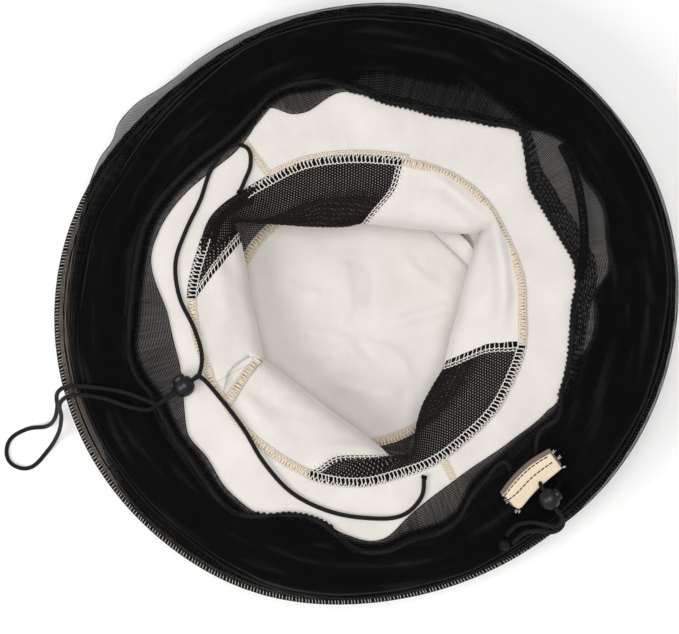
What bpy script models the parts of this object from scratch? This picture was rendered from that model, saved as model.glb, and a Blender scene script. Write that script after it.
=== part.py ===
"""Beekeeping veil: a cotton hat with mesh crown panels, a sprung wire brim and a gathered net veil.

The hat lies upside down on the outside of its crown top, its crown pressed down into folds and its
veil tucked inside the rim. Lengths are in millimetres; MM turns them into metres when a mesh is made.
+X and +Y lie in the table, +Z is up, and the origin is under the middle of the rim, on the table.
"""
import math

import bmesh
import bpy
from mathutils import Matrix, Vector

for existing in list(bpy.data.objects):
    bpy.data.objects.remove(existing, do_unlink=True)

MM = 0.001
GAP = 0.3

# Rim: the sprung wire pulls the brim into a slightly long oval, with shallow dents and swellings
RIM_RADIUS = 175.5
RIM_STRETCH = 5.5
RIM_STRETCH_ANGLE = math.radians(25)
# Each dent or swelling: angle and half width in degrees, and how far it moves the rim outwards
RIM_BUMPS = [(132, 22, -4.5), (250, 18, 2.5)]
RING_STEPS = 56

# Heights above the table
BRIM_Z = 49.0
VEIL_FLOOR_Z = 52.1
VEIL_TOP_Z = 60.0

# Crown: base seam, fold edge and top seam, as radii about the crown's own centre
CROWN_CENTRE = (-5.8, -9.2)
BASE_RADIUS = 94.6
BASE_SHIFT = 1.8
BASE_SHIFT_ANGLE = math.radians(30)
FOLD_RADIUS = 62.0
FOLD_SQUARENESS = 4.0
FOLD_Z = 33.0
WALL_BASE_RADIUS = BASE_RADIUS - 2.8
TOP_SEAM_RADIUS = 77.0
WALL_FOOT_Z = 4.9
CLOTH_THICKNESS = 1.0
CROWN_TOP_THICKNESS = 1.2
CROWN_TOP_RADIUS = 74.0
SEAM_HALF_WIDTH = 2.0
SEAM_CLEARANCE = 0.4
SEAM_EXTRA_THICKNESS = 0.8
WALL_STEPS = 14
# The four lengthwise seams of the crown wall, anticlockwise from +X
WALL_SEAM_ANGLES = [math.radians(a) for a in (-8.6, 73.0, 173.0, 253.3)]

# Brim
BRIM_THICKNESS = 1.2
BRIM_INNER_RADIUS = BASE_RADIUS + 2.7
BRIM_SEAM_ANGLES = [math.radians(a) for a in (-57.5, 120.5)]
BRIM_TUCK = 8.5
BRIM_STEPS = 28

# Hoop and its casing
HOOP_WIRE_RADIUS = 1.0
HOOP_INSET = 5.4
SLEEVE_RADIUS = 1.75
SLEEVE_BORE = 1.42
SLEEVE_HALF_ANGLE = math.radians(4.5)
SLEEVE_SLIT = 0.6
CASING_WIDTH = 12.0
CASING_HALF_HEIGHT = 2.4
CASING_WALL = 0.7
RIM_SEAM_WIDTH = 2.2
RIM_SEAM_HALF_HEIGHT = 1.7

# Veil: the opening inside the folded net, and the gathered hem round it
VEIL_CENTRE = (-9.0, -7.0)
VEIL_OPENING_RADIUS = 127.0
HEM_WIDTH = 8.0
HEM_HALF_HEIGHT = 2.2
HEM_Z = BRIM_Z + BRIM_THICKNESS / 2 + GAP + HEM_HALF_HEIGHT + CASING_WALL / 2
HEM_GAP_ANGLE = math.radians(-42)
HEM_GAP_HALF = math.radians(5)

# Cords and cord locks
CORD_RADIUS = 1.25
LOCK_RADIUS = 6.3
LOCK_TOP_Z = 4.2
LOCK_FOOT_TILT = 0.22
LOCK_STACK = 1.4
WELL_RADIUS = 4.0
WELL_FLOOR_Z = -4.2
SPRING_POCKET_RADIUS = 2.6
SPRING_POCKET_Z = -5.1
BUTTON_RADIUS = 3.8
SLOT_WIDTH = 5.4
SLOT_HEIGHT = 4.0
SLOT_Z = -0.5
SLOT_LENGTH = 20.0
BUTTON_SLOT_HEIGHT = 5.1
BUTTON_SLOT_FLOOR_Z = -1.5
SPRING_TURNS = 2.5
SPRING_RADIUS = 1.9
SPRING_WIRE_RADIUS = 0.2
SPRING_FOOT_Z = -4.8
SPRING_LENGTH = 1.8
CHIN_LOCK_CENTRE = Vector((-104.1, -47.2, 56.4))
CHIN_LOCK_AZIMUTH = math.radians(215)
CHIN_LOCK_RISE = math.radians(8)
VEIL_LOCK_CENTRE = Vector((104.7, -111.0, 66.7))
VEIL_LOCK_AZIMUTH = math.radians(-57)
VEIL_LOCK_RISE = 0.0
CHIN_END_ANGLE = math.radians(-66)
ANCHOR_HALF_WIDTH = 3.0
KNOT_CENTRE = Vector((79.2, -137.6, 62.9))
KNOT_RADIUS = 3.2
KNOT_TILT = 1.25


def finish_material(name, colour, roughness, metallic=0.0):
    made = bpy.data.materials.new(name)
    made.use_nodes = True
    shader = made.node_tree.nodes["Principled BSDF"]
    shader.inputs["Base Color"].default_value = (*colour, 1.0)
    shader.inputs["Roughness"].default_value = roughness
    shader.inputs["Metallic"].default_value = metallic
    return made


COTTON = finish_material("cream_cotton", (0.80, 0.76, 0.70), 0.9)
BLACK_MESH = finish_material("black_mesh", (0.02, 0.02, 0.02), 0.8)
BLACK_NET = finish_material("black_net", (0.015, 0.015, 0.015), 0.75)
BRIM_BINDING = finish_material("brim_binding", (0.72, 0.66, 0.58), 0.85)
CREAM_THREAD = finish_material("cream_thread", (0.72, 0.62, 0.48), 0.85)
DARK_THREAD = finish_material("dark_thread", (0.10, 0.10, 0.10), 0.85)
BLACK_CORD = finish_material("black_cord", (0.012, 0.012, 0.012), 0.7)
BLACK_PLASTIC = finish_material("black_plastic", (0.02, 0.02, 0.025), 0.35)
STEEL = finish_material("spring_steel", (0.55, 0.55, 0.56), 0.35, 1.0)


def add_mesh(name, points, faces, material, smooth=True):
    """Make one closed, outward-facing mesh object from points in millimetres."""
    mesh = bpy.data.meshes.new(name)
    mesh.from_pydata([Vector(p) * MM for p in points], [], faces)
    work = bmesh.new()
    work.from_mesh(mesh)
    bmesh.ops.recalc_face_normals(work, faces=work.faces)
    work.to_mesh(mesh)
    work.free()
    mesh.materials.append(material)
    if smooth:
        mesh.shade_smooth()
        mesh.set_sharp_from_angle(angle=math.radians(40))
    made = bpy.data.objects.new(name, mesh)
    bpy.context.scene.collection.objects.link(made)
    return made


def loft(name, sections, material, closed=False):
    """Join equal closed sections into one solid: a closed ring, or a run with capped ends."""
    side = len(sections[0])
    count = len(sections)
    points = [p for section in sections for p in section]
    faces = []
    for i in range(count if closed else count - 1):
        j = (i + 1) % count
        for k in range(side):
            m = (k + 1) % side
            faces.append((i * side + k, i * side + m, j * side + m, j * side + k))
    if not closed:
        faces.append(tuple(range(side)))
        faces.append(tuple((count - 1) * side + k for k in range(side)))
    return add_mesh(name, points, faces, material)


def thick(line, thickness):
    """Outline of a strip of even thickness along a line of (r, z) points, with mitred corners."""
    points = [Vector(p) for p in line]
    left, right = [], []
    for i, point in enumerate(points):
        before = (point - points[max(i - 1, 0)]).normalized()
        after = (points[min(i + 1, len(points) - 1)] - point).normalized()
        normals = [Vector((-d.y, d.x)) for d in (before, after) if d.length > 0]
        mitre = sum(normals, Vector((0, 0))).normalized()
        reach = thickness / 2 / max(mitre.dot(normals[0]), 0.35)
        left.append(tuple(point + mitre * reach))
        right.append(tuple(point - mitre * reach))
    return left + right[::-1]


def angles_round(start=0.0, turn=2 * math.pi, steps=RING_STEPS, closed=True):
    last = steps if closed else steps + 1
    return [start + turn * i / steps for i in range(last)]


def rim_point(angle, inset, z):
    """A point inset from the outer edge of the oval rim."""
    radius = RIM_RADIUS + RIM_STRETCH * math.cos(2 * (angle - RIM_STRETCH_ANGLE)) - inset
    for place, half_width, height in RIM_BUMPS:
        away = (math.degrees(angle) - place + 180) % 360 - 180
        radius += height * math.exp(-((away / half_width) ** 2))
    return (radius * math.cos(angle), radius * math.sin(angle), z)


def crown_point(angle, radius, z):
    """A point about the crown's centre; radii grow and shrink with the slightly shifted base seam."""
    shift = BASE_SHIFT * math.cos(angle - BASE_SHIFT_ANGLE) * radius / BASE_RADIUS
    reach = radius + shift
    return (CROWN_CENTRE[0] + reach * math.cos(angle), CROWN_CENTRE[1] + reach * math.sin(angle), z)


def veil_point(angle, radius, z):
    return (VEIL_CENTRE[0] + radius * math.cos(angle), VEIL_CENTRE[1] + radius * math.sin(angle), z)


def ring(name, profile, point, material):
    """Sweep a closed (r, z) profile round one of the three centre curves."""
    sections = [[point(a, r, z) for r, z in profile] for a in angles_round()]
    return loft(name, sections, material, closed=True)


def hexagon(centre, half_width, half_height):
    """A flattened six-sided section, like a row of overlock stitches seen end on."""
    r, z = centre
    side = 0.55 * half_width
    return [
        (r - half_width, z), (r - side, z - half_height), (r + side, z - half_height),
        (r + half_width, z), (r + side, z + half_height), (r - side, z + half_height),
    ]


def wall_line(angle):
    """The crown wall's folded section: base seam, fold edge, top seam."""
    fold = FOLD_RADIUS - FOLD_SQUARENESS * math.cos(4 * angle)
    return [(WALL_BASE_RADIUS, BRIM_Z - 0.6), (fold, FOLD_Z), (TOP_SEAM_RADIUS, WALL_FOOT_Z)]


def crown():
    edge = [(CROWN_TOP_RADIUS - 0.5, 0.0), (CROWN_TOP_RADIUS, 0.5)]
    edge += [(CROWN_TOP_RADIUS, CROWN_TOP_THICKNESS - 0.4), (CROWN_TOP_RADIUS - 0.5, CROWN_TOP_THICKNESS)]
    rings = [[crown_point(a, r, z) for a in angles_round()] for r, z in edge]
    loft("crown_top", rings, COTTON)
    ring("crown_top_overlock", hexagon((TOP_SEAM_RADIUS, 2.5), 2.3, 1.7), crown_point, CREAM_THREAD)
    ring("crown_base_overlock", hexagon((BASE_RADIUS, BRIM_Z), 2.3, 1.7), crown_point, CREAM_THREAD)

    names = ["crown_wall_cotton_right", "crown_wall_mesh_upper", "crown_wall_cotton_left",
             "crown_wall_mesh_lower"]
    for i, name in enumerate(names):
        start = WALL_SEAM_ANGLES[i]
        stop = WALL_SEAM_ANGLES[(i + 1) % 4] + (2 * math.pi if i == 3 else 0)
        sections = []
        for step in range(WALL_STEPS + 1):
            share = step / WALL_STEPS
            inset = (SEAM_HALF_WIDTH + SEAM_CLEARANCE) * (1 - 2 * share)
            middle = start + (stop - start) * share
            outline = thick(wall_line(middle), CLOTH_THICKNESS)
            sections.append([crown_point(middle + inset / r, r, z) for r, z in outline])
        loft(name, sections, BLACK_MESH if "mesh" in name else COTTON)

    for i, angle in enumerate(WALL_SEAM_ANGLES):
        outline = thick(wall_line(angle), CLOTH_THICKNESS + SEAM_EXTRA_THICKNESS)
        sections = []
        for across in (-SEAM_HALF_WIDTH, -SEAM_HALF_WIDTH / 2, SEAM_HALF_WIDTH / 2, SEAM_HALF_WIDTH):
            sections.append([crown_point(angle + across / r, r, z) for r, z in outline])
        loft(f"wall_overlock_{i + 1}", sections, CREAM_THREAD)


def brim_section(angle, shift):
    """The flat brim from the crown's base seam out into the hoop casing, shifted along the rim."""
    half = BRIM_THICKNESS / 2
    row = []
    for z in (BRIM_Z - half, BRIM_Z + half):
        inner = Vector(crown_point(angle + shift / BASE_RADIUS, BRIM_INNER_RADIUS, z))
        outer = Vector(rim_point(angle + shift / RIM_RADIUS, BRIM_TUCK, z))
        line = [inner.lerp(outer, share) for share in (0.0, 0.5, 1.0)]
        row += line if z < BRIM_Z else line[::-1]
    return row


def brim():
    lower, upper = BRIM_SEAM_ANGLES
    spans = {"brim_panel_right": (lower, upper), "brim_panel_left": (upper, lower + 2 * math.pi)}
    for name, (start, stop) in spans.items():
        sections = []
        for step in range(BRIM_STEPS + 1):
            share = step / BRIM_STEPS
            inset = (SEAM_HALF_WIDTH + SEAM_CLEARANCE) * (1 - 2 * share)
            sections.append(brim_section(start + (stop - start) * share, inset))
        loft(name, sections, COTTON)
    for name, angle in (("brim_overlock_lower", lower), ("brim_overlock_upper", upper)):
        sections = []
        for share in (0.01, 0.5, 0.88):
            centre = Vector(crown_point(angle, BRIM_INNER_RADIUS, BRIM_Z))
            centre = centre.lerp(Vector(rim_point(angle, BRIM_TUCK, BRIM_Z)), share)
            across = Vector((-math.sin(angle), math.cos(angle), 0))
            sections.append([centre + across * r + Vector((0, 0, z)) for r, z in hexagon((0, 0), 2.0, 0.6)])
        loft(name, sections, CREAM_THREAD)


def tube(name, path, radius, material, resolution=2):
    """A cord or wire: a round tube with filled ends along a polyline in millimetres."""
    curve = bpy.data.curves.new(name, "CURVE")
    curve.dimensions = "3D"
    curve.bevel_depth = radius * MM
    curve.bevel_resolution = resolution
    curve.use_fill_caps = True
    spline = curve.splines.new("POLY")
    spline.points.add(len(path) - 1)
    for point, place in zip(spline.points, path):
        point.co = (*(Vector(place) * MM), 1.0)
    curve.materials.append(material)
    made = bpy.data.objects.new(name, curve)
    bpy.context.scene.collection.objects.link(made)
    return made


def hoop():
    wire_start = SLEEVE_HALF_ANGLE * 0.1
    turn = 2 * math.pi - 2 * wire_start
    path = [rim_point(a, HOOP_INSET, BRIM_Z) for a in angles_round(wire_start, turn, closed=False)]
    tube("hoop_wire", path, HOOP_WIRE_RADIUS, STEEL, resolution=1)

    sections = []
    for step in range(7):
        angle = -SLEEVE_HALF_ANGLE + SLEEVE_HALF_ANGLE * 2 * step / 6
        bend = angles_round(SLEEVE_SLIT / 2, 2 * math.pi - SLEEVE_SLIT, 9, closed=False)
        outer = [(SLEEVE_RADIUS * math.cos(t), SLEEVE_RADIUS * math.sin(t)) for t in bend]
        inner = [(SLEEVE_BORE * math.cos(t), SLEEVE_BORE * math.sin(t)) for t in bend]
        outline = outer + inner[::-1]
        sections.append([rim_point(angle, HOOP_INSET - r, BRIM_Z + z) for r, z in outline])
    loft("hoop_sleeve", sections, STEEL)

    inner_edge = RIM_SEAM_WIDTH + CASING_WIDTH
    outer_edge = RIM_SEAM_WIDTH + GAP + CASING_WALL / 2
    line = [(inner_edge, CASING_HALF_HEIGHT), (outer_edge, CASING_HALF_HEIGHT)]
    line += [(outer_edge, -CASING_HALF_HEIGHT), (inner_edge, -CASING_HALF_HEIGHT)]
    profile = [(r, BRIM_Z + z) for r, z in thick(line, CASING_WALL)]
    ring("hoop_casing", profile, rim_point, BRIM_BINDING)
    half = RIM_SEAM_WIDTH / 2
    ring("rim_overlock", hexagon((half, BRIM_Z), half, RIM_SEAM_HALF_HEIGHT), rim_point, DARK_THREAD)


def net_section(angle):
    """The folded net between the hem and the rim: flat below, gently heaped above."""
    heap = [(0.0, VEIL_FLOOR_Z), (0.0, 57.0), (0.25, VEIL_TOP_Z - 0.4), (0.5, VEIL_TOP_Z)]
    heap += [(0.8, VEIL_TOP_Z - 1.2), (1.0, 55.0), (1.0, VEIL_FLOOR_Z)]
    section = []
    for share, z in heap:
        inner = Vector(veil_point(angle, VEIL_OPENING_RADIUS + HEM_WIDTH + 1.0, z))
        outer = Vector(rim_point(angle, RIM_SEAM_WIDTH + 0.8, z))
        section.append(inner.lerp(outer, share))
    return section


def veil():
    loft("veil_net", [net_section(a) for a in angles_round()], BLACK_NET, closed=True)
    inner = VEIL_OPENING_RADIUS + CASING_WALL / 2
    outer = VEIL_OPENING_RADIUS + HEM_WIDTH
    high = HEM_HALF_HEIGHT
    line = [(outer, high), (inner, high), (inner, -high), (outer, -high)]
    profile = [(r, HEM_Z + z) for r, z in thick(line, CASING_WALL)]
    start = HEM_GAP_ANGLE + HEM_GAP_HALF
    turn = 2 * math.pi - 2 * HEM_GAP_HALF
    angles = angles_round(start, turn, closed=False)
    loft("veil_hem_casing", [[veil_point(a, r, z) for r, z in profile] for a in angles], BLACK_NET)

    outline = [(79.4, -110.4), (93.0, -96.0), (107.5, -85.1), (113.9, -94.9), (106.5, -97.5),
               (99.5, -96.5), (93.5, -101.0), (91.5, -110.0), (89.1, -119.6), (84.0, -115.5)]
    loft("veil_tab", [[(x, y, z) for x, y in outline] for z in (65.2, 65.6, 67.0, 67.4)], COTTON)


def lock_frame(centre, azimuth, rise):
    """Axes of a cord lock: X along the cord's hole, Z out of the button, Y across the stacked cords."""
    along = Vector((math.cos(rise) * math.cos(azimuth), math.cos(rise) * math.sin(azimuth), math.sin(rise)))
    quarter = math.copysign(math.pi / 2, -azimuth)
    out = Vector((math.cos(azimuth + quarter), math.sin(azimuth + quarter), 0.0))
    across = out.cross(along)
    frame = Matrix((along, across, out)).transposed().to_4x4()
    frame.translation = centre * MM
    return frame


def lathe(name, profile, material, segments=20):
    rings = []
    for r, z in profile:
        rings.append([(r * math.cos(a), r * math.sin(a), z) for a in angles_round(steps=segments)])
    return loft(name, rings, material)


def cut_slot(target, size, centre):
    """Cut a box through a piece with a Boolean."""
    half = Vector(size) / 2
    corners = [Vector((sx * half.x, sy * half.y, sz * half.z)) + Vector(centre)
               for sx in (-1, 1) for sy in (-1, 1) for sz in (-1, 1)]
    faces = [(0, 1, 3, 2), (4, 6, 7, 5), (0, 4, 5, 1), (2, 3, 7, 6), (0, 2, 6, 4), (1, 5, 7, 3)]
    cutter = add_mesh(target.name + "_cutter", corners, faces, STEEL, smooth=False)
    cutter.hide_render = True
    cutter.display_type = "WIRE"
    cutter.parent = target.parent
    cut = target.modifiers.new("slot", "BOOLEAN")
    cut.operation = "DIFFERENCE"
    cut.solver = "EXACT"
    cut.object = cutter


def cord_lock(prefix, centre, azimuth, rise):
    """Ball cord lock: a body with a well and a cross hole, a sprung button, and its coil spring."""
    holder = bpy.data.objects.new(prefix + "_axis", None)
    bpy.context.scene.collection.objects.link(holder)
    holder.matrix_world = lock_frame(centre, azimuth, rise)

    foot = -math.pi / 2 + LOCK_FOOT_TILT
    top = math.asin(LOCK_TOP_Z / LOCK_RADIUS)
    shell = []
    for step in range(9):
        tilt = foot + (top - foot) * step / 8
        shell.append((LOCK_RADIUS * math.cos(tilt), LOCK_RADIUS * math.sin(tilt)))
    well = [(WELL_RADIUS, LOCK_TOP_Z), (WELL_RADIUS, WELL_FLOOR_Z)]
    well += [(SPRING_POCKET_RADIUS, WELL_FLOOR_Z), (SPRING_POCKET_RADIUS, SPRING_POCKET_Z)]
    body = lathe(prefix + "_body", shell + well, BLACK_PLASTIC)
    body.parent = holder
    cut_slot(body, (SLOT_LENGTH, SLOT_WIDTH, SLOT_HEIGHT), (0, 0, SLOT_Z))

    head = [(1.2, 7.0), (2.6, 6.8), (3.5, 6.2), (BUTTON_RADIUS, 5.4)]
    head += [(BUTTON_RADIUS, -2.4), (BUTTON_RADIUS - 0.2, -2.65)]
    button = lathe(prefix + "_button", head, BLACK_PLASTIC, segments=16)
    button.parent = holder
    slot_middle = BUTTON_SLOT_FLOOR_Z + BUTTON_SLOT_HEIGHT / 2
    cut_slot(button, (SLOT_LENGTH, SLOT_WIDTH + 0.1, BUTTON_SLOT_HEIGHT), (0, 0, slot_middle))

    steps = round(SPRING_TURNS * 10)
    coil = []
    for step in range(steps + 1):
        share = step / steps
        angle = share * SPRING_TURNS * 2 * math.pi
        z = SPRING_FOOT_Z + SPRING_LENGTH * share
        coil.append((SPRING_RADIUS * math.cos(angle), SPRING_RADIUS * math.sin(angle), z))
    spring = tube(prefix + "_spring", coil, SPRING_WIRE_RADIUS, STEEL, resolution=1)
    spring.parent = holder


def on_lock(centre, azimuth, rise, along, side):
    """A point on one of the two cords stacked in a lock: so far along the hole, above or below its middle."""
    frame = lock_frame(centre, azimuth, rise)
    return frame.to_3x3() @ Vector((along, 0, 0)) + centre + stack_up(frame) * (LOCK_STACK * side)


def stack_up(frame):
    across = frame.to_3x3() @ Vector((0, 1, 0))
    return across if across.z > 0 else -across


def smooth_path(route, parts):
    """Read a curve through the route's points: a cubic with tangents set by neighbouring points."""
    points = [Vector(p) for p in route]
    path = []
    for i in range(len(points) - 1):
        before, start = points[max(i - 1, 0)], points[i]
        stop, after = points[i + 1], points[min(i + 2, len(points) - 1)]
        span = (stop - start).length
        lead = (stop - before).normalized() * span
        trail = (after - start).normalized() * span
        for part in range(parts):
            t = part / parts
            path.append(
                start * (2 * t**3 - 3 * t**2 + 1) + lead * (t**3 - 2 * t**2 + t)
                + stop * (3 * t**2 - 2 * t**3) + trail * (t**3 - t**2)
            )
    path.append(points[-1])
    return path


# The chin cord's route, from one tack on the crown's base seam to the other
CHIN_ROUTE_IN = [
    (-72.6, 63.6, 52.3), (-69.4, 71.0, 51.4), (-66.0, 80.5, 51.2), (-67.9, 90.0, 51.2),
    (-77.5, 91.0, 51.2), (-88.5, 78.0, 51.2), (-95.0, 60.0, 51.2), (-103.5, 42.0, 51.2),
    (-109.3, 24.0, 51.2), (-107.0, 4.0, 51.3), (-98.5, -14.0, 52.6), (-94.0, -29.5, 52.9),
]
CHIN_LOOP = [
    (-125.2, -55.0, 61.9), (-139.0, -50.2, 61.9), (-158.0, -47.4, 61.7), (-170.5, -47.2, 58.8),
    (-177.6, -51.5, 50.5), (-179.6, -60.0, 37.0), (-183.6, -68.0, 22.0), (-191.0, -73.2, 7.0),
    (-203.5, -75.2, 1.6), (-214.0, -82.5, 1.6), (-213.8, -94.5, 1.6), (-202.0, -98.6, 1.6),
    (-190.8, -88.5, 3.0), (-181.8, -76.6, 18.0), (-177.4, -66.2, 36.0), (-175.8, -57.2, 52.0),
    (-168.0, -52.3, 60.0), (-151.0, -53.6, 61.9), (-135.5, -58.6, 61.9), (-124.5, -60.6, 59.9),
]
CHIN_ROUTE_OUT = [
    (-86.5, -50.5, 52.9), (-70.5, -71.0, 52.9), (-58.5, -91.0, 52.4), (-42.0, -109.0, 51.2),
    (-20.0, -119.8, 51.2), (3.0, -123.6, 51.2), (21.5, -122.0, 51.2), (32.5, -111.5, 51.3),
]


def chin_cord():
    lock = (CHIN_LOCK_CENTRE, CHIN_LOCK_AZIMUTH, CHIN_LOCK_RISE)
    inward = [on_lock(*lock, along, 1) for along in (-10.5, -7.0, 7.0, 17.0)]
    outward = [on_lock(*lock, along, -1) for along in (17.0, 7.0, -7.0, -10.5)]
    end = [crown_point(CHIN_END_ANGLE, BASE_RADIUS + 4.0, 52.3)]
    route = CHIN_ROUTE_IN + inward + CHIN_LOOP + outward + CHIN_ROUTE_OUT + end
    tube("chin_cord", smooth_path(route, 2), CORD_RADIUS, BLACK_CORD)
    cord_lock("chin_lock", *lock)

    start_angle = math.atan2(CHIN_ROUTE_IN[0][1] - CROWN_CENTRE[1], CHIN_ROUTE_IN[0][0] - CROWN_CENTRE[0])
    for name, angle in (("chin_anchor_upper", start_angle), ("chin_anchor_lower", CHIN_END_ANGLE)):
        sections = []
        for share in (-1.0, -0.85, 0.85, 1.0):
            across = ANCHOR_HALF_WIDTH * share
            inset = 0.4 if abs(share) == 1.0 else 0.0
            box = [(BASE_RADIUS - 2.5, 51.0 + inset), (BASE_RADIUS + 3.4, 51.0 + inset),
                   (BASE_RADIUS + 3.4, 53.6 - inset), (BASE_RADIUS - 2.5, 53.6 - inset)]
            sections.append([crown_point(angle + across / BASE_RADIUS, r, z) for r, z in box])
        loft(name, sections, BLACK_CORD)


def drawcord():
    """The hem's drawcord: out of its knot, through the lock, round the hem and back again."""
    lock = (VEIL_LOCK_CENTRE, VEIL_LOCK_AZIMUTH, VEIL_LOCK_RISE)
    radius = VEIL_OPENING_RADIUS + HEM_WIDTH / 2
    tail_low = [(84.0, -136.6, 62.2), (91.5, -130.5, 62.2), (99.5, -129.6, 62.2)]
    tail_low += [(107.5, -130.4, 61.8), (112.6, -126.5, 63.2)]
    tail_low += [on_lock(*lock, along, -1) for along in (12.5, 7.0, -7.0, -9.0)]
    tail_low += [(96.5, -101.4, 62.5), (90.5, -102.6, 61.8), (85.2, -102.6, 59.0)]
    tail_high = [(98.0, -89.6, 59.0), (98.8, -94.5, 62.6), (98.9, -99.0, 64.0)]
    tail_high += [on_lock(*lock, along, 1) for along in (-9.0, -7.0, 7.0, 12.5)]
    tail_high += [(109.2, -126.2, 66.6), (103.0, -125.9, 65.6), (95.5, -124.6, 63.4)]
    tail_high += [(86.5, -126.5, 62.2), (80.4, -132.6, 62.4)]
    start = HEM_GAP_ANGLE - HEM_GAP_HALF * 0.9
    turn = -(2 * math.pi - HEM_GAP_HALF * 1.8)
    hem = [veil_point(a, radius, HEM_Z) for a in angles_round(start, turn, 40, closed=False)]
    path = smooth_path(tail_low, 2)[:-1] + smooth_path([tail_low[-1]] + hem[:2], 2)[:-2]
    path += hem + smooth_path(hem[-2:] + [tail_high[0]], 2)[3:-1] + smooth_path(tail_high, 2)
    tube("veil_drawcord", path, CORD_RADIUS, BLACK_CORD)
    cord_lock("veil_lock", *lock)

    knot = []
    for step in range(7):
        tilt = KNOT_TILT * (step / 3 - 1)
        knot.append((KNOT_RADIUS * math.cos(tilt), KNOT_RADIUS * math.sin(tilt)))
    blob = lathe("drawcord_knot", knot, BLACK_CORD, segments=12)
    blob.location = KNOT_CENTRE * MM


crown()
brim()
hoop()
veil()
chin_cord()
drawcord()
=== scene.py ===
"""Looks of the beekeeping veil: a cotton and mesh hat lying upside down, its net veil folded inside the rim.

Lengths are in millimetres in this script's own values, and MM turns them into metres when a mesh is made.
The view is from straight above: +X is right, +Y is up the picture, +Z comes towards the camera.
"""
import math

import bmesh
import bpy
import numpy as np
from mathutils import Matrix, Vector, noise


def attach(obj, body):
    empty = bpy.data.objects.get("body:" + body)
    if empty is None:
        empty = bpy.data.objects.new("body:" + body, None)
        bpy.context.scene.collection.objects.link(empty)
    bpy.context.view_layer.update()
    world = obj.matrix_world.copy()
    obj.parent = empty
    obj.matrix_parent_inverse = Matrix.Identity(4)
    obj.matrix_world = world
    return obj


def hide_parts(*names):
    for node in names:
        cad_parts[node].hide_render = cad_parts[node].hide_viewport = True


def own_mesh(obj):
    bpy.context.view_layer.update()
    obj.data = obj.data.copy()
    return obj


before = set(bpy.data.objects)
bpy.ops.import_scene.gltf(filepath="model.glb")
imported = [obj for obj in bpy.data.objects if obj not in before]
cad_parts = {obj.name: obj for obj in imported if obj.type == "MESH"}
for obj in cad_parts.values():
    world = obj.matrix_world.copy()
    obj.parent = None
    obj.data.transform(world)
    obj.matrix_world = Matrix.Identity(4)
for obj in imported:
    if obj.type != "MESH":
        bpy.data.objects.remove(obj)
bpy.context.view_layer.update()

MM = 0.001
TAU = 2 * math.pi

# Camera: straight down over the middle of the object
VIEW_CENTRE = (-14.7, -7.5)
RIM_PLANE_Z = 55.0
CAMERA_DISTANCE = 1100.0
FIELD_WIDTH = 390.4
SENSOR_WIDTH = 36.0

# Heights
BRIM_Z = 49.0
FOLD_Z = 34.5
SEAM_FOOT_Z = 4.0

# Crown
CROWN_CENTRE = np.array([-5.8, -9.2])
BRIM_SEAM_LOW, BRIM_SEAM_TOP = -57.5, 120.5
TOP_SEAM_RADIUS = 77.0
TOP_SEAM_BULGE = 6.0
TOP_SEAM_BULGE_ANGLE = 38.0
BASE_RADIUS = 94.6
BASE_SHIFT = 1.8
BASE_SHIFT_ANGLE = math.radians(30)


def camera():
    data = bpy.data.cameras.new("camera")
    data.sensor_width = SENSOR_WIDTH
    data.lens = SENSOR_WIDTH * CAMERA_DISTANCE / FIELD_WIDTH
    made = bpy.data.objects.new("camera", data)
    made.location = Vector((*VIEW_CENTRE, RIM_PLANE_Z + CAMERA_DISTANCE)) * MM
    bpy.context.scene.collection.objects.link(made)
    bpy.context.scene.camera = made
    bpy.context.view_layer.update()


camera()


# ---------------------------------------------------------------- materials

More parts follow.
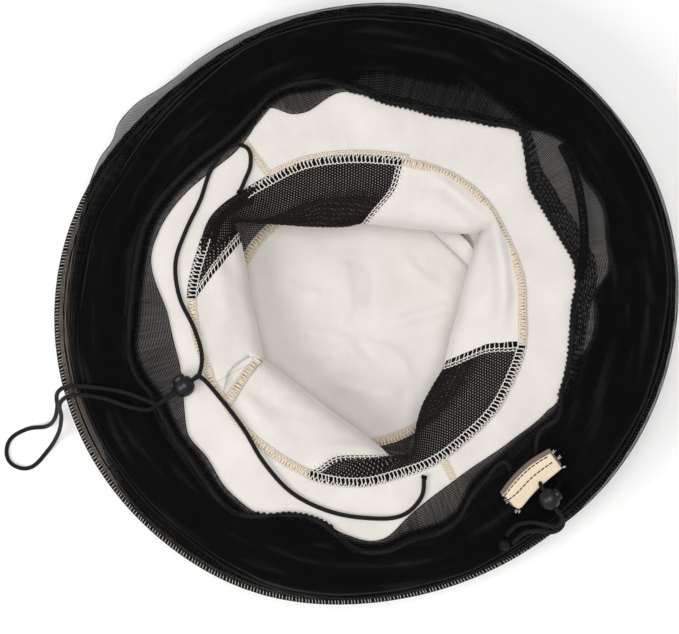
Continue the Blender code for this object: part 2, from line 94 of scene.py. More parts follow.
class Finish:
    """A Principled material, with short ways to add the nodes that feed it."""

    def __init__(self, name, roughness=0.8, metallic=0.0, sheen=0.0, specular=0.5):
        self.material = bpy.data.materials.new(name)
        self.material.use_nodes = True
        self.tree = self.material.node_tree
        self.shader = self.tree.nodes["Principled BSDF"]
        for socket, value in (("Roughness", roughness), ("Metallic", metallic),
                              ("Sheen Weight", sheen), ("Specular IOR Level", specular)):
            self.shader.inputs[socket].default_value = value

    def node(self, kind, **settings):
        made = self.tree.nodes.new(kind)
        for key, value in settings.items():
            setattr(made, key, value)
        return made

    def feed(self, socket, value):
        if isinstance(value, bpy.types.NodeSocket):
            self.tree.links.new(value, socket)
        else:
            socket.default_value = value

    def math(self, operation, a, b=0.0, c=0.0):
        made = self.node("ShaderNodeMath", operation=operation)
        for socket, value in zip(made.inputs, (a, b, c)):
            self.feed(socket, value)
        return made.outputs[0]

    def cloth(self):
        """The cloth coordinates, in millimetres along and across the piece."""
        made = self.node("ShaderNodeUVMap", uv_map="cloth")
        split = self.node("ShaderNodeSeparateXYZ")
        self.feed(split.inputs[0], made.outputs[0])
        return made.outputs[0], split.outputs[0], split.outputs[1]

    def place(self):
        """The place on the object, in metres."""
        return self.node("ShaderNodeTexCoord").outputs["Object"]

    def cloud(self, vector, scale, detail=2.0):
        made = self.node("ShaderNodeTexNoise")
        self.feed(made.inputs["Vector"], vector)
        made.inputs["Scale"].default_value = scale
        made.inputs["Detail"].default_value = detail
        return made.outputs["Fac"]

    def stripes(self, a, b, across, along, pitch):
        """A sine wave, -1 to 1, over a direction of the cloth."""
        down = self.math("MULTIPLY", b, along * TAU / pitch)
        return self.math("SINE", self.math("MULTIPLY_ADD", a, across * TAU / pitch, down))

    def colours(self, share, *stops):
        """Colour by share, 0 to 1, through (position, colour) stops."""
        made = self.node("ShaderNodeValToRGB")
        ramp = made.color_ramp
        while len(ramp.elements) < len(stops):
            ramp.elements.new(0.5)
        for element, (position, colour) in zip(ramp.elements, stops):
            element.position = position
            element.color = (*colour, 1.0)
        self.feed(made.inputs[0], share)
        self.feed(self.shader.inputs["Base Color"], made.outputs[0])

    def bump(self, height, depth, strength=1.0):
        """Relief of that depth in millimetres."""
        made = self.node("ShaderNodeBump")
        made.inputs["Strength"].default_value = strength
        made.inputs["Distance"].default_value = depth * MM
        self.feed(made.inputs["Height"], height)
        self.feed(self.shader.inputs["Normal"], made.outputs[0])

    def stretch(self, vector, across, along):
        """The same place, with cloth coordinates drawn out so that clouds turn into streaks."""
        scaled = self.node("ShaderNodeVectorMath", operation="MULTIPLY")
        self.feed(scaled.inputs[0], vector)
        scaled.inputs[1].default_value = (across, along, 1.0)
        return scaled.outputs[0]

    def holes(self, u, v, pitch, hole, uneven, softness=0.06):
        """Knitted net: round holes in a hexagonal lattice, as transparency."""
        near = []
        for shift in (0.0, 0.5):
            parts = []
            for coordinate, step in ((u, pitch), (v, pitch * math.sqrt(3))):
                cell = self.math("FRACT", self.math("MULTIPLY_ADD", coordinate, 1 / step, shift))
                parts.append(self.math("MULTIPLY_ADD", cell, step, -step / 2))
            second = self.math("MULTIPLY", parts[1], parts[1])
            squares = self.math("MULTIPLY_ADD", parts[0], parts[0], second)
            near.append(self.math("SQRT", squares))
        away = self.math("ADD", self.math("MINIMUM", *near), uneven)
        edge = self.node("ShaderNodeMapRange")
        self.feed(edge.inputs[0], away)
        edge.inputs["From Min"].default_value = hole - softness
        edge.inputs["From Max"].default_value = hole + softness
        self.feed(self.shader.inputs["Alpha"], edge.outputs[0])
        return away


def cotton(name, light, dark, pitch=0.85, sheen=0.15):
    """Plain-woven drill: diagonal ribs with a little painted shade in their grooves, slubs and slow changes
    of tone.
    """
    finish = Finish(name, roughness=0.92, sheen=sheen, specular=0.2)
    vector, u, v = finish.cloth()
    ribs = finish.stripes(u, v, 0.8, 0.6, pitch)
    yarns = finish.stripes(u, v, -0.6, 0.8, pitch * 0.62)
    weave = finish.math("MULTIPLY_ADD", ribs, 0.6, finish.math("MULTIPLY", yarns, 0.4))
    tone = finish.cloud(vector, 0.035, 4.0)
    slubs = finish.cloud(vector, 0.9, 2.0)
    # weave adds a little painted shade along the rib grooves; slubs and tone are the cloth's own colour
    share = finish.math("MULTIPLY_ADD", weave, 0.07, finish.math("MULTIPLY_ADD", slubs, 0.25, tone))
    finish.colours(share, (0.25, dark), (0.85, light))
    finish.bump(finish.math("ADD", weave, finish.math("MULTIPLY", slubs, 1.6)), 0.09, 0.8)
    return finish.material


def net(name, colour, pitch, hole, specular, sheen=0.0, gathers=0.0, folds=2.0):
    """Knitted net. gathers varies the holes in streaks across the cloth; folds sets a painted fold
    highlight, streaks along it lightened by that factor.
    """
    finish = Finish(name, roughness=0.75, specular=specular, sheen=sheen)
    vector, u, v = finish.cloth()
    streaks = finish.cloud(finish.stretch(vector, 0.55, 0.035), 1.0, 2.0)
    uneven = finish.math("MULTIPLY_ADD", streaks, gathers, -0.5 * gathers)
    away = finish.holes(u, v, pitch, hole, uneven)
    tone = finish.cloud(finish.stretch(vector, 0.018, 0.15), 1.0, 3.0)
    # Painted highlight: streaks along the cloth lightened up to folds times the colour, in place of light on
    # the net's folds
    painted_fold_highlight = tuple(folds * c for c in colour)
    finish.colours(tone, (0.3, colour), (0.56, tuple(1.2 * c for c in colour)), (0.72, painted_fold_highlight))
    finish.bump(away, 0.25, 0.6)
    return finish.material


def yarn(name, light, dark, twist=0.9, specular=0.2):
    """Sewing thread: twisted plies, with painted shade in the grooves between them, so its tone runs in
    slanting bands.
    """
    finish = Finish(name, roughness=0.85, specular=specular)
    vector, u, v = finish.cloth()
    plies = finish.stripes(u, v, 1.0, 1.0, twist)
    # plies darken the colour in the grooves: painted shade
    share = finish.math("MULTIPLY_ADD", plies, 0.25, finish.cloud(vector, 0.5, 2.0))
    finish.colours(share, (0.2, dark), (0.8, light))
    finish.bump(plies, 0.08)
    return finish.material


def braid(name, colour, fleck_and_highlight):
    """Round braided cord: two crossing sets of strands, with lighter specks that are flecks in the braid and
    a painted highlight where strands cross.
    """
    finish = Finish(name, roughness=0.55, specular=0.16)
    vector, u, v = finish.cloth()
    left = finish.stripes(u, v, 0.8, 0.55, 1.0)
    right = finish.stripes(u, v, -0.8, 0.55, 1.0)
    strands = finish.math("MAXIMUM", left, right)
    crossing = finish.math("MULTIPLY", left, right)
    share = finish.math("MULTIPLY_ADD", crossing, 0.35, finish.cloud(vector, 1.4, 1.0))
    finish.colours(share, (0.45, colour), (0.95, fleck_and_highlight))
    finish.bump(strands, 0.25)
    return finish.material


def knot_finish(name, colour, fleck_and_highlight):
    """Braid pulled into a knot, read from its place and not from cloth coordinates."""
    finish = Finish(name, roughness=0.6, specular=0.15)
    place = finish.place()
    strands = finish.cloud(place, 900.0, 3.0)
    # Lighter spots: flecks of the braid and a painted highlight on the knotted strands
    finish.colours(strands, (0.45, colour), (0.8, fleck_and_highlight))
    finish.bump(strands, 0.5)
    return finish.material


def plastic(name, colour):
    """Moulded plastic with a fine eggshell skin and slightly worn, glossier patches."""
    finish = Finish(name, roughness=0.4, specular=0.35)
    place = finish.place()
    grain = finish.cloud(place, 2200.0, 2.0)
    wear = finish.cloud(place, 180.0, 3.0)
    finish.colours(wear, (0.35, colour), (0.75, tuple(2.0 * c for c in colour)))
    finish.feed(finish.shader.inputs["Roughness"], finish.math("MULTIPLY_ADD", wear, 0.35, 0.22))
    finish.bump(grain, 0.03)
    return finish.material


def steel(name):
    finish = Finish(name, roughness=0.32, metallic=1.0)
    drawn = finish.cloud(finish.place(), 900.0, 3.0)
    finish.colours(drawn, (0.3, (0.42, 0.42, 0.43)), (0.8, (0.62, 0.62, 0.63)))
    finish.feed(finish.shader.inputs["Roughness"], finish.math("MULTIPLY_ADD", drawn, 0.3, 0.2))
    finish.bump(drawn, 0.02)
    return finish.material


def paper(name):
    finish = Finish(name, roughness=0.95, specular=0.1)
    place = finish.place()
    finish.colours(finish.cloud(place, 3.0, 2.0), (0.2, (0.93, 0.93, 0.93)), (0.8, (0.97, 0.97, 0.97)))
    finish.bump(finish.cloud(place, 400.0, 2.0), 0.01)
    return finish.material


COTTON = cotton("cream_cotton", (0.745, 0.708, 0.675), (0.64, 0.59, 0.55))
TAB_COTTON = cotton("tab_cotton", (0.80, 0.67, 0.51), (0.66, 0.53, 0.38), pitch=1.1)
# Painted shade: the tab's lower ply is the same cotton, coloured dark brown so its edge beside the upper ply
# reads as shade
TAB_PAINTED_SHADE = cotton("tab_painted_shade", (0.20, 0.155, 0.13), (0.10, 0.075, 0.06), pitch=1.1)
BINDING = cotton("brim_binding", (0.66, 0.55, 0.47), (0.46, 0.37, 0.31), pitch=1.4)
CROWN_MESH = net("crown_mesh", (0.006, 0.0053, 0.0048), 1.8, 0.35, specular=0.12)
BACK_MESH = net("crown_mesh_under", (0.009, 0.0075, 0.0065), 1.85, 0.60, specular=0.12)
DOUBLE_MESH = net("crown_mesh_doubled", (0.007, 0.0062, 0.0056), 1.85, 0.38, specular=0.12)
# folds=5.0 and 3.0 here are painted fold highlights on the net and its hem
VEIL_NET = net("veil_net", (0.0024, 0.0024, 0.0024), 1.05, 0.297, specular=0.03, sheen=0.06,
               gathers=0.22, folds=5.0)
HEM_NET = net("hem_net", (0.004, 0.004, 0.004), 0.95, 0.30, specular=0.08, sheen=0.06,
              gathers=0.3, folds=3.0)
CREAM_THREAD = yarn("cream_thread", (0.92, 0.86, 0.76), (0.68, 0.57, 0.43))
# Painted shade: the grounds under the cream overlocks are the cream cloth, coloured tan-brown for the shade
# between and under the thread loops
PAINTED_SHADE_OVERLOCK_GROUND = cotton("overlock_ground_painted_shade", (0.48, 0.36, 0.26), (0.27, 0.19, 0.13), pitch=0.9)
BRIM_SEAM_PAINTED_SHADE_GROUND = cotton("brim_seam_ground_painted_shade", (0.70, 0.62, 0.52), (0.52, 0.43, 0.34), pitch=0.9)
WHITE_THREAD = yarn("white_thread", (0.92, 0.90, 0.85), (0.62, 0.58, 0.52))
RIM_THREAD = yarn("rim_thread", (0.66, 0.64, 0.60), (0.30, 0.28, 0.26))
BLACK_THREAD = yarn("black_thread", (0.007, 0.007, 0.007), (0.003, 0.003, 0.003), specular=0.08)
CORD = braid("black_cord", (0.003, 0.003, 0.003), (0.042, 0.042, 0.040))
CORD_KNOT = knot_finish("cord_knot", (0.003, 0.003, 0.003), (0.02, 0.02, 0.019))
PLASTIC = plastic("lock_plastic", (0.006, 0.0065, 0.0075))
STEEL = steel("spring_steel")


# ---------------------------------------------------------------- mesh helpers

def unit(vectors):
    return vectors / (np.linalg.norm(vectors, axis=-1, keepdims=True) + 1e-9)


def distances(points):
    """How far along a run of points each one lies."""
    return np.concatenate([[0], np.cumsum(np.linalg.norm(np.diff(points, axis=0), axis=1))])


def raised(flat, height):
    """Points of a plane at a height, or at a height each."""
    return np.concatenate([flat, np.broadcast_to(height, flat.shape[:-1])[..., None]], -1)


def upwards(line):
    return np.tile([0.0, 0.0, 1.0], (len(line), 1))


def piece(name, points, faces, cloth, material, slot, replaces=(), body="hat"):
    """A mesh that rides on a body: points in millimetres, and for cloth one (u, v) to each face corner."""
    mesh = bpy.data.meshes.new(name)
    mesh.from_pydata((np.asarray(points, float) * MM).tolist(), [], faces)
    layer = mesh.uv_layers.new(name="cloth")
    layer.data.foreach_set("uv", np.asarray(cloth, np.float32).ravel())
    mesh.materials.append(material)
    mesh.shade_smooth()
    made = bpy.data.objects.new(name, mesh)
    bpy.context.scene.collection.objects.link(made)
    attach(made, body)
    if replaces:
        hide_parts(*replaces)
    return made


def lattice(rows, columns, closed):
    """Quads of a grid, and each corner's row and column, with rows counted on past a closed seam."""
    spans = rows if closed else rows - 1
    i, j = np.meshgrid(np.arange(spans), np.arange(columns - 1), indexing="ij")
    corner_rows = np.stack([i, i + 1, i + 1, i], -1).reshape(-1, 4)
    corner_columns = np.stack([j, j, j + 1, j + 1], -1).reshape(-1, 4)
    faces = (corner_rows % rows) * columns + corner_columns
    return faces, corner_rows, corner_columns


def grid(name, points, material, slot, closed=False, flip=False, cloth=None, **options):
    """A cloth from an array of rows and columns of points.

    cloth holds its own (u, v) by row and column, with one more row than a closed grid has; without it
    they are measured along the middle column and the mean row."""
    points = np.asarray(points, float)
    rows, columns = points.shape[:2]
    faces, corner_rows, corner_columns = lattice(rows, columns, closed)
    if cloth is None:
        ring = np.concatenate([points, points[:1]]) if closed else points
        u = distances(ring[:, columns // 2])
        steps = np.linalg.norm(np.diff(ring, axis=1), axis=2).mean(0)
        v = np.concatenate([[0], np.cumsum(steps)])
        cloth = np.stack(np.broadcast_arrays(u[:, None], v[None]), -1)
    cloth = cloth[corner_rows, corner_columns]
    if flip:
        faces, cloth = faces[:, ::-1], cloth[:, ::-1]
    return piece(name, points.reshape(-1, 3), faces.tolist(), cloth.reshape(-1, 2), material, slot,
                 **options)


def solidify(made, thickness, offset=0.0):
    """Give a cloth its thickness, as closed cloth with real edges."""
    added = made.modifiers.new("thickness", "SOLIDIFY")
    added.thickness = thickness * MM
    added.offset = offset
    added.use_rim = True
    return made


def tube_faces(stations, sides, radius, first=0):
    """Quads and end caps of a tube whose vertices start at first, and their cloth coordinates."""
    arc = TAU * radius / sides
    faces, cloth = [], []
    last = len(stations) - 1
    for i in range(last):
        ring = first + i * sides
        low, high = stations[i], stations[i + 1]
        for k in range(sides):
            m = (k + 1) % sides
            faces.append((ring + k, ring + m, ring + sides + m, ring + sides + k))
            cloth += [(k * arc, low), ((k + 1) * arc, low), ((k + 1) * arc, high), (k * arc, high)]
    for i, order in ((0, range(sides - 1, -1, -1)), (last, range(sides))):
        faces.append(tuple(first + i * sides + k for k in order))
        cloth += [(k * arc, stations[i]) for k in order]
    return faces, cloth


def tubes(strands, radius, sides=6, up=(0, 0, 1)):
    """Round tubes with closed ends along equal-length runs of points: points, faces and cloth."""
    strands = np.asarray(strands, float)
    steps = strands.shape[1]
    tangents = unit(np.gradient(strands, axis=1))
    across = unit(np.cross(tangents, np.broadcast_to(np.asarray(up, float), tangents.shape)))
    over = np.cross(across, tangents)
    turn = np.arange(sides)[:, None] * TAU / sides
    circle = across[:, :, None] * np.cos(turn) + over[:, :, None] * np.sin(turn)
    points = strands[:, :, None] + circle * radius
    faces, cloth = [], []
    for n, strand in enumerate(strands):
        more_faces, more_cloth = tube_faces(distances(strand), sides, radius, n * steps * sides)
        faces += more_faces
        cloth += more_cloth
    return points.reshape(-1, 3), faces, cloth


def round_curve(table):
    """A smooth function of the angle in degrees, once round, through (degrees, value) pairs."""
    xs, ys = np.array(sorted(table), float).T
    xs = np.concatenate([xs - 360, xs, xs + 360])
    ys = np.tile(ys, 3)
    slopes = np.gradient(ys, xs)

    def value(degrees):
        x = (np.asarray(degrees, float) + 180) % 360 - 180
        i = np.clip(np.searchsorted(xs, x) - 1, 0, len(xs) - 2)
        h = xs[i + 1] - xs[i]
        t = (x - xs[i]) / h
        start = ys[i] * (2 * t**3 - 3 * t**2 + 1) + slopes[i] * h * (t**3 - 2 * t**2 + t)
        return start + ys[i + 1] * (3 * t**2 - 2 * t**3) + slopes[i + 1] * h * (t**3 - t**2)

    return value


def through(points, parts):
    """A smooth run through an array of points (first index), with that many parts to each span."""
    points = np.asarray(points, float)
    padded = np.concatenate([points[:1] * 2 - points[1:2], points, points[-1:] * 2 - points[-2:-1]])
    run = []
    for i in range(len(points) - 1):
        a, b, c, d = padded[i:i + 4]
        for part in range(parts):
            t = part / parts
            run.append(0.5 * (2 * b + (c - a) * t + (2 * a - 5 * b + 4 * c - d) * t**2
                              + (3 * b - a - 3 * c + d) * t**3))
    run.append(points[-1])
    return np.array(run)


def smooth_step(x, low, high):
    t = np.clip((np.asarray(x, float) - low) / (high - low), 0, 1)
    return t * t * (3 - 2 * t)


def ripple(x, y, seed, octaves=1):
    """Smooth noise, about -1 to 1, over two arrays of coordinates."""
    x, y = np.broadcast_arrays(x, y)
    total = np.zeros(x.size)
    for octave in range(octaves):
        factor = 2.0**octave
        total += np.array([noise.noise((a * factor, b * factor, seed + 7.3 * octave))
                           for a, b in zip(x.ravel(), y.ravel())]) / factor
    return total.reshape(x.shape)


def polar(angles, radii, heights, centre=(0.0, 0.0)):
    """Points at angles in degrees and radii about a centre."""
    turn = np.radians(angles)
    x = centre[0] + radii * np.cos(turn)
    y = centre[1] + radii * np.sin(turn)
    return np.stack(np.broadcast_arrays(x, y, heights), -1)


def distance_to(x, y, line):
    """For each place, the distance to a line of points and the side of it, +1 on its left."""
    best = np.full(np.shape(x), 1e9)
    side = np.zeros(np.shape(x))
    along = np.zeros(np.shape(x))
    for n, ((ax, ay), (bx, by)) in enumerate(zip(line[:-1], line[1:])):
        dx, dy = bx - ax, by - ay
        t = np.clip(((x - ax) * dx + (y - ay) * dy) / (dx * dx + dy * dy), 0, 1)
        gap = np.hypot(x - ax - t * dx, y - ay - t * dy)
        closer = gap < best
        best = np.where(closer, gap, best)
        side = np.where(closer, np.sign(dx * (y - ay) - dy * (x - ax)), side)
        along = np.where(closer, n + t, along)
    return best, side, along / (len(line) - 1)


def ridge(points, line, height, width):
    """Raise, or with a negative height press in, a soft ridge along a line on a cloth."""
    away, _, along = distance_to(points[..., 0], points[..., 1], line)
    ends = smooth_step(along, 0.0, 0.2) * (1 - smooth_step(along, 0.8, 1.0))
    points[..., 2] += height * np.exp(-((away / width) ** 2)) * (0.35 + 0.65 * ends) * (away < 4 * width)


# ---------------------------------------------------------------- the rim's own line

def rim_from_frame():
    """The rim's outer radius by angle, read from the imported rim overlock."""
    co = np.array([v.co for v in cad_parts["rim_overlock"].data.vertices]) / MM
    angles = np.degrees(np.arctan2(co[:, 1], co[:, 0]))
    radii = np.hypot(co[:, 0], co[:, 1])
    outer = {}
    for angle, radius in zip(np.round(angles, 1), radii):
        outer[angle] = max(radius, outer.get(angle, 0.0))
    kept = sorted(outer)
    return np.array(kept), np.array([outer[a] for a in kept])


RIM_ANGLES, RIM_RADII = rim_from_frame()


def rim(degrees):
    return np.interp(degrees, RIM_ANGLES, RIM_RADII, period=360)


# ---------------------------------------------------------------- crown stations

# Where the crown's base seam, wall middle and fold lie, anticlockwise from the right-hand seam
WALL = [
    ((91, -22), (71, -24), (48, -34)), ((91, -8), (71, -14), (51, -21)), ((90, 13), (74, 5), (56, -2)),
    ((84, 32), (74, 28), (62, 22)), ((78, 44), (73, 42), (68, 40)), ((74, 52), (72, 47), (69, 43)),
    ((66, 62), (65, 52), (63, 42)), ((49, 74), (44, 59), (39, 44)), ((35, 79), (28, 63), (21, 46)),
    ((23, 82), (18, 66), (3, 48)), ((6, 84), (-3, 65), (-11, 46)), ((-14, 84), (-22, 65), (-29, 46)),
    ((-37, 80), (-42, 63), (-47, 47)), ((-56, 71), (-60, 59), (-64, 48)), ((-71, 62), (-73, 55), (-75, 48)),
    ((-88, 46), (-83, 46), (-76, 45)), ((-95, 28), (-86, 34), (-76, 42)), ((-100, 4), (-87, 22), (-74, 39)),
    ((-99, -8), (-85, 8), (-71, 25)), ((-96, -24), (-82, -12), (-67, 0)),
    ((-91, -37), (-77, -32), (-61, -27)),
    ((-88, -45), (-74, -38), (-60, -31)), ((-84, -52), (-73, -43), (-60, -33)),
    ((-80, -58), (-68, -47), (-57, -35)),
    ((-67, -75), (-52, -63), (-38, -50)), ((-52, -87), (-33, -78), (-14, -68)),
    ((-39, -95), (-13, -84), (8, -84)),
    ((-33, -98), (-16, -88), (12, -88)), ((-19, -102), (-2, -94), (18, -89)),
    ((0, -103), (11, -96), (23, -88)),
    ((20, -98), (23, -93), (27, -87)), ((39, -91), (34, -86), (29, -81)), ((58, -77), (44, -73), (31, -70)),
    ((74, -61), (54, -59), (35, -58)), ((84, -43), (62, -45), (41, -47)),
]
SEAM_RIGHT, SEAM_TOP, SEAM_LEFT, SEAM_LOW = -8.6, 73.0, 172.5, 253.3
# The stretch of the upper mesh that bulges out over the base seam
TUCK_START, TUCK_STOP = 131.0, 151.0


def wall_curves():
    """For base, middle and fold, smooth X and Y as functions of the base's angle round the crown."""
    base_angles = [math.degrees(math.atan2(*(np.array(base) - CROWN_CENTRE)[::-1])) for base, _, _ in WALL]
    return [[round_curve([(a, row[which][axis]) for a, row in zip(base_angles, WALL)]) for axis in (0, 1)]
            for which in range(3)]


WALL_CURVES = wall_curves()
# Creases pressed into the wall and the floor, as (line, height, width)
WALL_CREASES = [
    ([(72, 52), (76, 38), (79, 23), (80.5, 5), (78, -14)], 4.6, 4.5),
    ([(38, 73), (52, 64), (64, 53), (71, 45)], 3.4, 4.5),
    ([(30, 66), (44, 58), (60, 47)], -1.6, 4.0), ([(-86, 30), (-83, 12), (-80, -6)], 1.6, 5.0),
    ([(-72, -52), (-60, -66), (-44, -80)], 1.5, 5.0), ([(-90, 40), (-84, 28), (-72, 14)], -1.2, 3.5),
    ([(-66, -50), (-52, -60), (-36, -66)], -1.0, 4.0),
]
FLOOR_CREASES = [
    ([(12, -13), (30, -7.5), (48, -3), (60, -1)], 2.0, 4.2),
    ([(-10, 28), (-11.5, 18), (-8.5, 0), (-15, -15)], 1.8, 4.5),
    ([(-22, -46), (-8, -49), (10, -53), (26, -55)], 2.4, 5.5),
    ([(-4, -23), (14, -26), (23, -33), (28, -44)], 1.6, 3.8),
    ([(-46, -12), (-30, -18), (-12, -22), (2, -37)], 1.8, 4.5), ([(-50, 14), (-36, 6), (-24, 6)], 1.4, 4.0),
    ([(24, 30), (32, 18), (46, 10)], 1.5, 4.0), ([(0, 30), (6, 12), (4, -4)], -1.2, 4.0),
]
# Rows of points to each of the seven spans down the wall; the fold is at the end of the fourth
WALL_ROWS = 8


def wall_station(degrees, which):
    return np.stack([curve(degrees) for curve in WALL_CURVES[which]], -1)


def top_seam(degrees):
    """Radius of the crown's top seam about its centre, pulled out a little at the upper right."""
    away = (np.asarray(degrees, float) - TOP_SEAM_BULGE_ANGLE + 180) % 360 - 180
    return TOP_SEAM_RADIUS + TOP_SEAM_BULGE * np.exp(-((away / 16.0) ** 2))


def wall_surface(degrees):
    """Rows of points down the crown wall at each angle: base seam, fold edge, top seam."""
    degrees = np.asarray(degrees, float)
    base, middle, fold = (wall_station(degrees, which) for which in range(3))
    foot = polar(degrees, top_seam(degrees), 0.0, CROWN_CENTRE)[..., :2]
    stops = [
        (base, BRIM_Z), (0.65 * base + 0.35 * middle, BRIM_Z - 0.8), (middle, 45.5),
        (0.3 * middle + 0.7 * fold, 40.5), (fold, FOLD_Z), (0.97 * fold + 0.03 * foot, FOLD_Z - 3.0),
        (0.5 * fold + 0.5 * foot, 15.0), (foot, SEAM_FOOT_Z),
    ]
    points = np.moveaxis(through([raised(xy, z) for xy, z in stops], WALL_ROWS), 0, 1)
    x, y = points[..., 0], points[..., 1]
    rows = np.linspace(0, 1, points.shape[1])
    free = np.sin(np.pi * np.clip(rows * 1.02, 0, 1)) ** 0.5
    points[..., 2] += free * (1.1 * ripple(x / 26, y / 26, 3.1, 2) + 0.35 * ripple(x / 7, y / 7, 9.4, 2))
    for line, height, width in WALL_CREASES:
        ridge(points, line, height, width)
    return points


def sides_of(points):
    """Unit directions along a grid's rows and up out of it."""
    along = unit(np.gradient(points, axis=0))
    out = unit(np.cross(np.gradient(points, axis=1), along))
    return along, out * np.where(out[..., 2:] < 0, -1.0, 1.0)


# ---------------------------------------------------------------- the chin cord

CORD_DIAMETER = 2.5
LOCK_STACK = 1.4
# The button's spring, inside each lock: where it stands along the button's axis, and its length
SPRING_FOOT, SPRING_LENGTH = -5.0, 1.8
CHIN_LOCK = (Vector((-104.1, -47.2, 56.4)), math.radians(215), math.radians(8))
VEIL_LOCK = (Vector((104.7, -111.0, 66.7)), math.radians(-57), 0.0)
CHIN_ROUTE_IN = [
    (-72.6, 63.6, 52.3), (-69.4, 71.0, 51.4), (-66.0, 80.5, 51.2), (-67.9, 90.0, 51.2),
    (-77.5, 91.0, 51.2), (-88.5, 78.0, 51.2), (-95.0, 60.0, 51.2), (-103.5, 42.0, 51.2),
    (-109.3, 24.0, 51.2), (-107.0, 4.0, 51.3), (-98.5, -14.0, 52.6), (-94.0, -29.5, 52.9),
]
CHIN_LOOP = [
    (-125.2, -55.0, 61.9), (-139.0, -50.2, 61.9), (-158.0, -47.4, 61.7), (-170.5, -47.2, 58.8),
    (-177.6, -51.5, 50.5), (-179.6, -60.0, 37.0), (-183.6, -68.0, 22.0), (-191.0, -73.2, 7.0),
    (-203.5, -75.2, 1.6), (-214.0, -82.5, 1.6), (-213.8, -94.5, 1.6), (-202.0, -98.6, 1.6),
    (-190.8, -88.5, 3.0), (-181.8, -76.6, 18.0), (-177.4, -66.2, 36.0), (-175.8, -57.2, 52.0),
    (-168.0, -52.3, 60.0), (-151.0, -53.6, 61.9), (-135.5, -58.6, 61.9), (-124.5, -60.6, 59.9),
]
CHIN_ROUTE_OUT = [
    (-86.5, -50.5, 52.9), (-70.5, -71.0, 52.9), (-58.5, -91.0, 52.4), (-42.0, -109.0, 51.2),
    (-20.0, -119.8, 51.2), (3.0, -123.6, 51.2), (21.5, -122.0, 51.2), (32.5, -111.5, 51.3),
]
CHIN_END_ANGLE = math.radians(-66)


def lock_frame(lock):
    """Axes of a cord lock: X along the cord's hole, Z out of the button, Y across the stacked cords."""
    centre, azimuth, rise = lock
    along = Vector((math.cos(rise) * math.cos(azimuth), math.cos(rise) * math.sin(azimuth), math.sin(rise)))
    quarter = math.copysign(math.pi / 2, -azimuth)
    out = Vector((math.cos(azimuth + quarter), math.sin(azimuth + quarter), 0.0))
    made = Matrix((along, out.cross(along), out)).transposed().to_4x4()
    made.translation = centre
    return made


def on_lock(lock, along, side):
    """A point on one of the two cords stacked in a lock."""
    made = lock_frame(lock)
    across = made.to_3x3() @ Vector((0, 1, 0))
    across *= 1 if across.z > 0 else -1
    return made.to_3x3() @ Vector((along, 0, 0)) + made.translation + across * (LOCK_STACK * side)


def smooth_path(route, parts):
    """Read a curve through the route's points: a cubic with tangents set by neighbouring points."""
    points = [Vector(p) for p in route]
    path = []
    for i in range(len(points) - 1):
        before, start = points[max(i - 1, 0)], points[i]
        stop, after = points[i + 1], points[min(i + 2, len(points) - 1)]
        span = (stop - start).length
        lead = (stop - before).normalized() * span
        trail = (after - start).normalized() * span
        for part in range(parts):
            t = part / parts
            path.append(
                start * (2 * t**3 - 3 * t**2 + 1) + lead * (t**3 - 2 * t**2 + t)
                + stop * (3 * t**2 - 2 * t**3) + trail * (t**3 - t**2)
            )
    path.append(points[-1])
    return path


def resample(path, step):
    path = np.array([tuple(p) for p in path])
    lengths = distances(path)
    stations = np.linspace(0, lengths[-1], max(int(round(lengths[-1] / step)), 2) + 1)
    return np.stack([np.interp(stations, lengths, path[:, axis]) for axis in range(3)], -1), stations


def braided_cord(name, path, sides=14, step=0.8, **options):
    """A round braided cord with closed ends: a tube whose strands stand a little proud."""
    centres, stations = resample(path, step)
    tangents = unit(np.gradient(centres, axis=0))
    normal = Vector((0, 0, 1)).cross(Vector(tangents[0])).normalized()
    radius = CORD_DIAMETER / 2
    turn = np.arange(sides) * TAU / sides
    rings = []
    for centre, tangent, station in zip(centres, tangents, stations):
        tangent = Vector(tangent)
        normal = (normal - tangent * normal.dot(tangent)).normalized()
        other = tangent.cross(normal)
        relief = np.sin(4 * turn + station * 2.2) * np.sin(4 * turn - station * 2.2)
        reach = radius * (1.0 + 0.045 * relief)
        rings.append(centre + np.outer(reach * np.cos(turn), normal) + np.outer(reach * np.sin(turn), other))
    faces, cloth = tube_faces(stations, sides, radius)
    made = piece(name, np.concatenate(rings), faces, cloth, CORD, "cord_black", **options)
    return made, centres, stations[-1]


def chin_end():
    """Where the chin cord's lower end is tacked to the crown's base seam."""
    reach = BASE_RADIUS + 4.0
    reach += BASE_SHIFT * math.cos(CHIN_END_ANGLE - BASE_SHIFT_ANGLE) * reach / BASE_RADIUS
    return polar(math.degrees(CHIN_END_ANGLE), reach, 52.3, CROWN_CENTRE)


def chin_cord():
    inward = [on_lock(CHIN_LOCK, along, 1) for along in (-10.5, -7.0, 7.0, 11.5, 16.0, 18.5)]
    outward = [on_lock(CHIN_LOCK, along, -1) for along in (18.5, 16.0, 11.5, 7.0, -7.0, -10.5)]
    route = CHIN_ROUTE_IN + inward + CHIN_LOOP + outward + CHIN_ROUTE_OUT + [chin_end()]
    made, centres, length = braided_cord("chin_cord_braid", smooth_path(route, 6), replaces=("chin_cord",))


# ---------------------------------------------------------------- overlock stitching

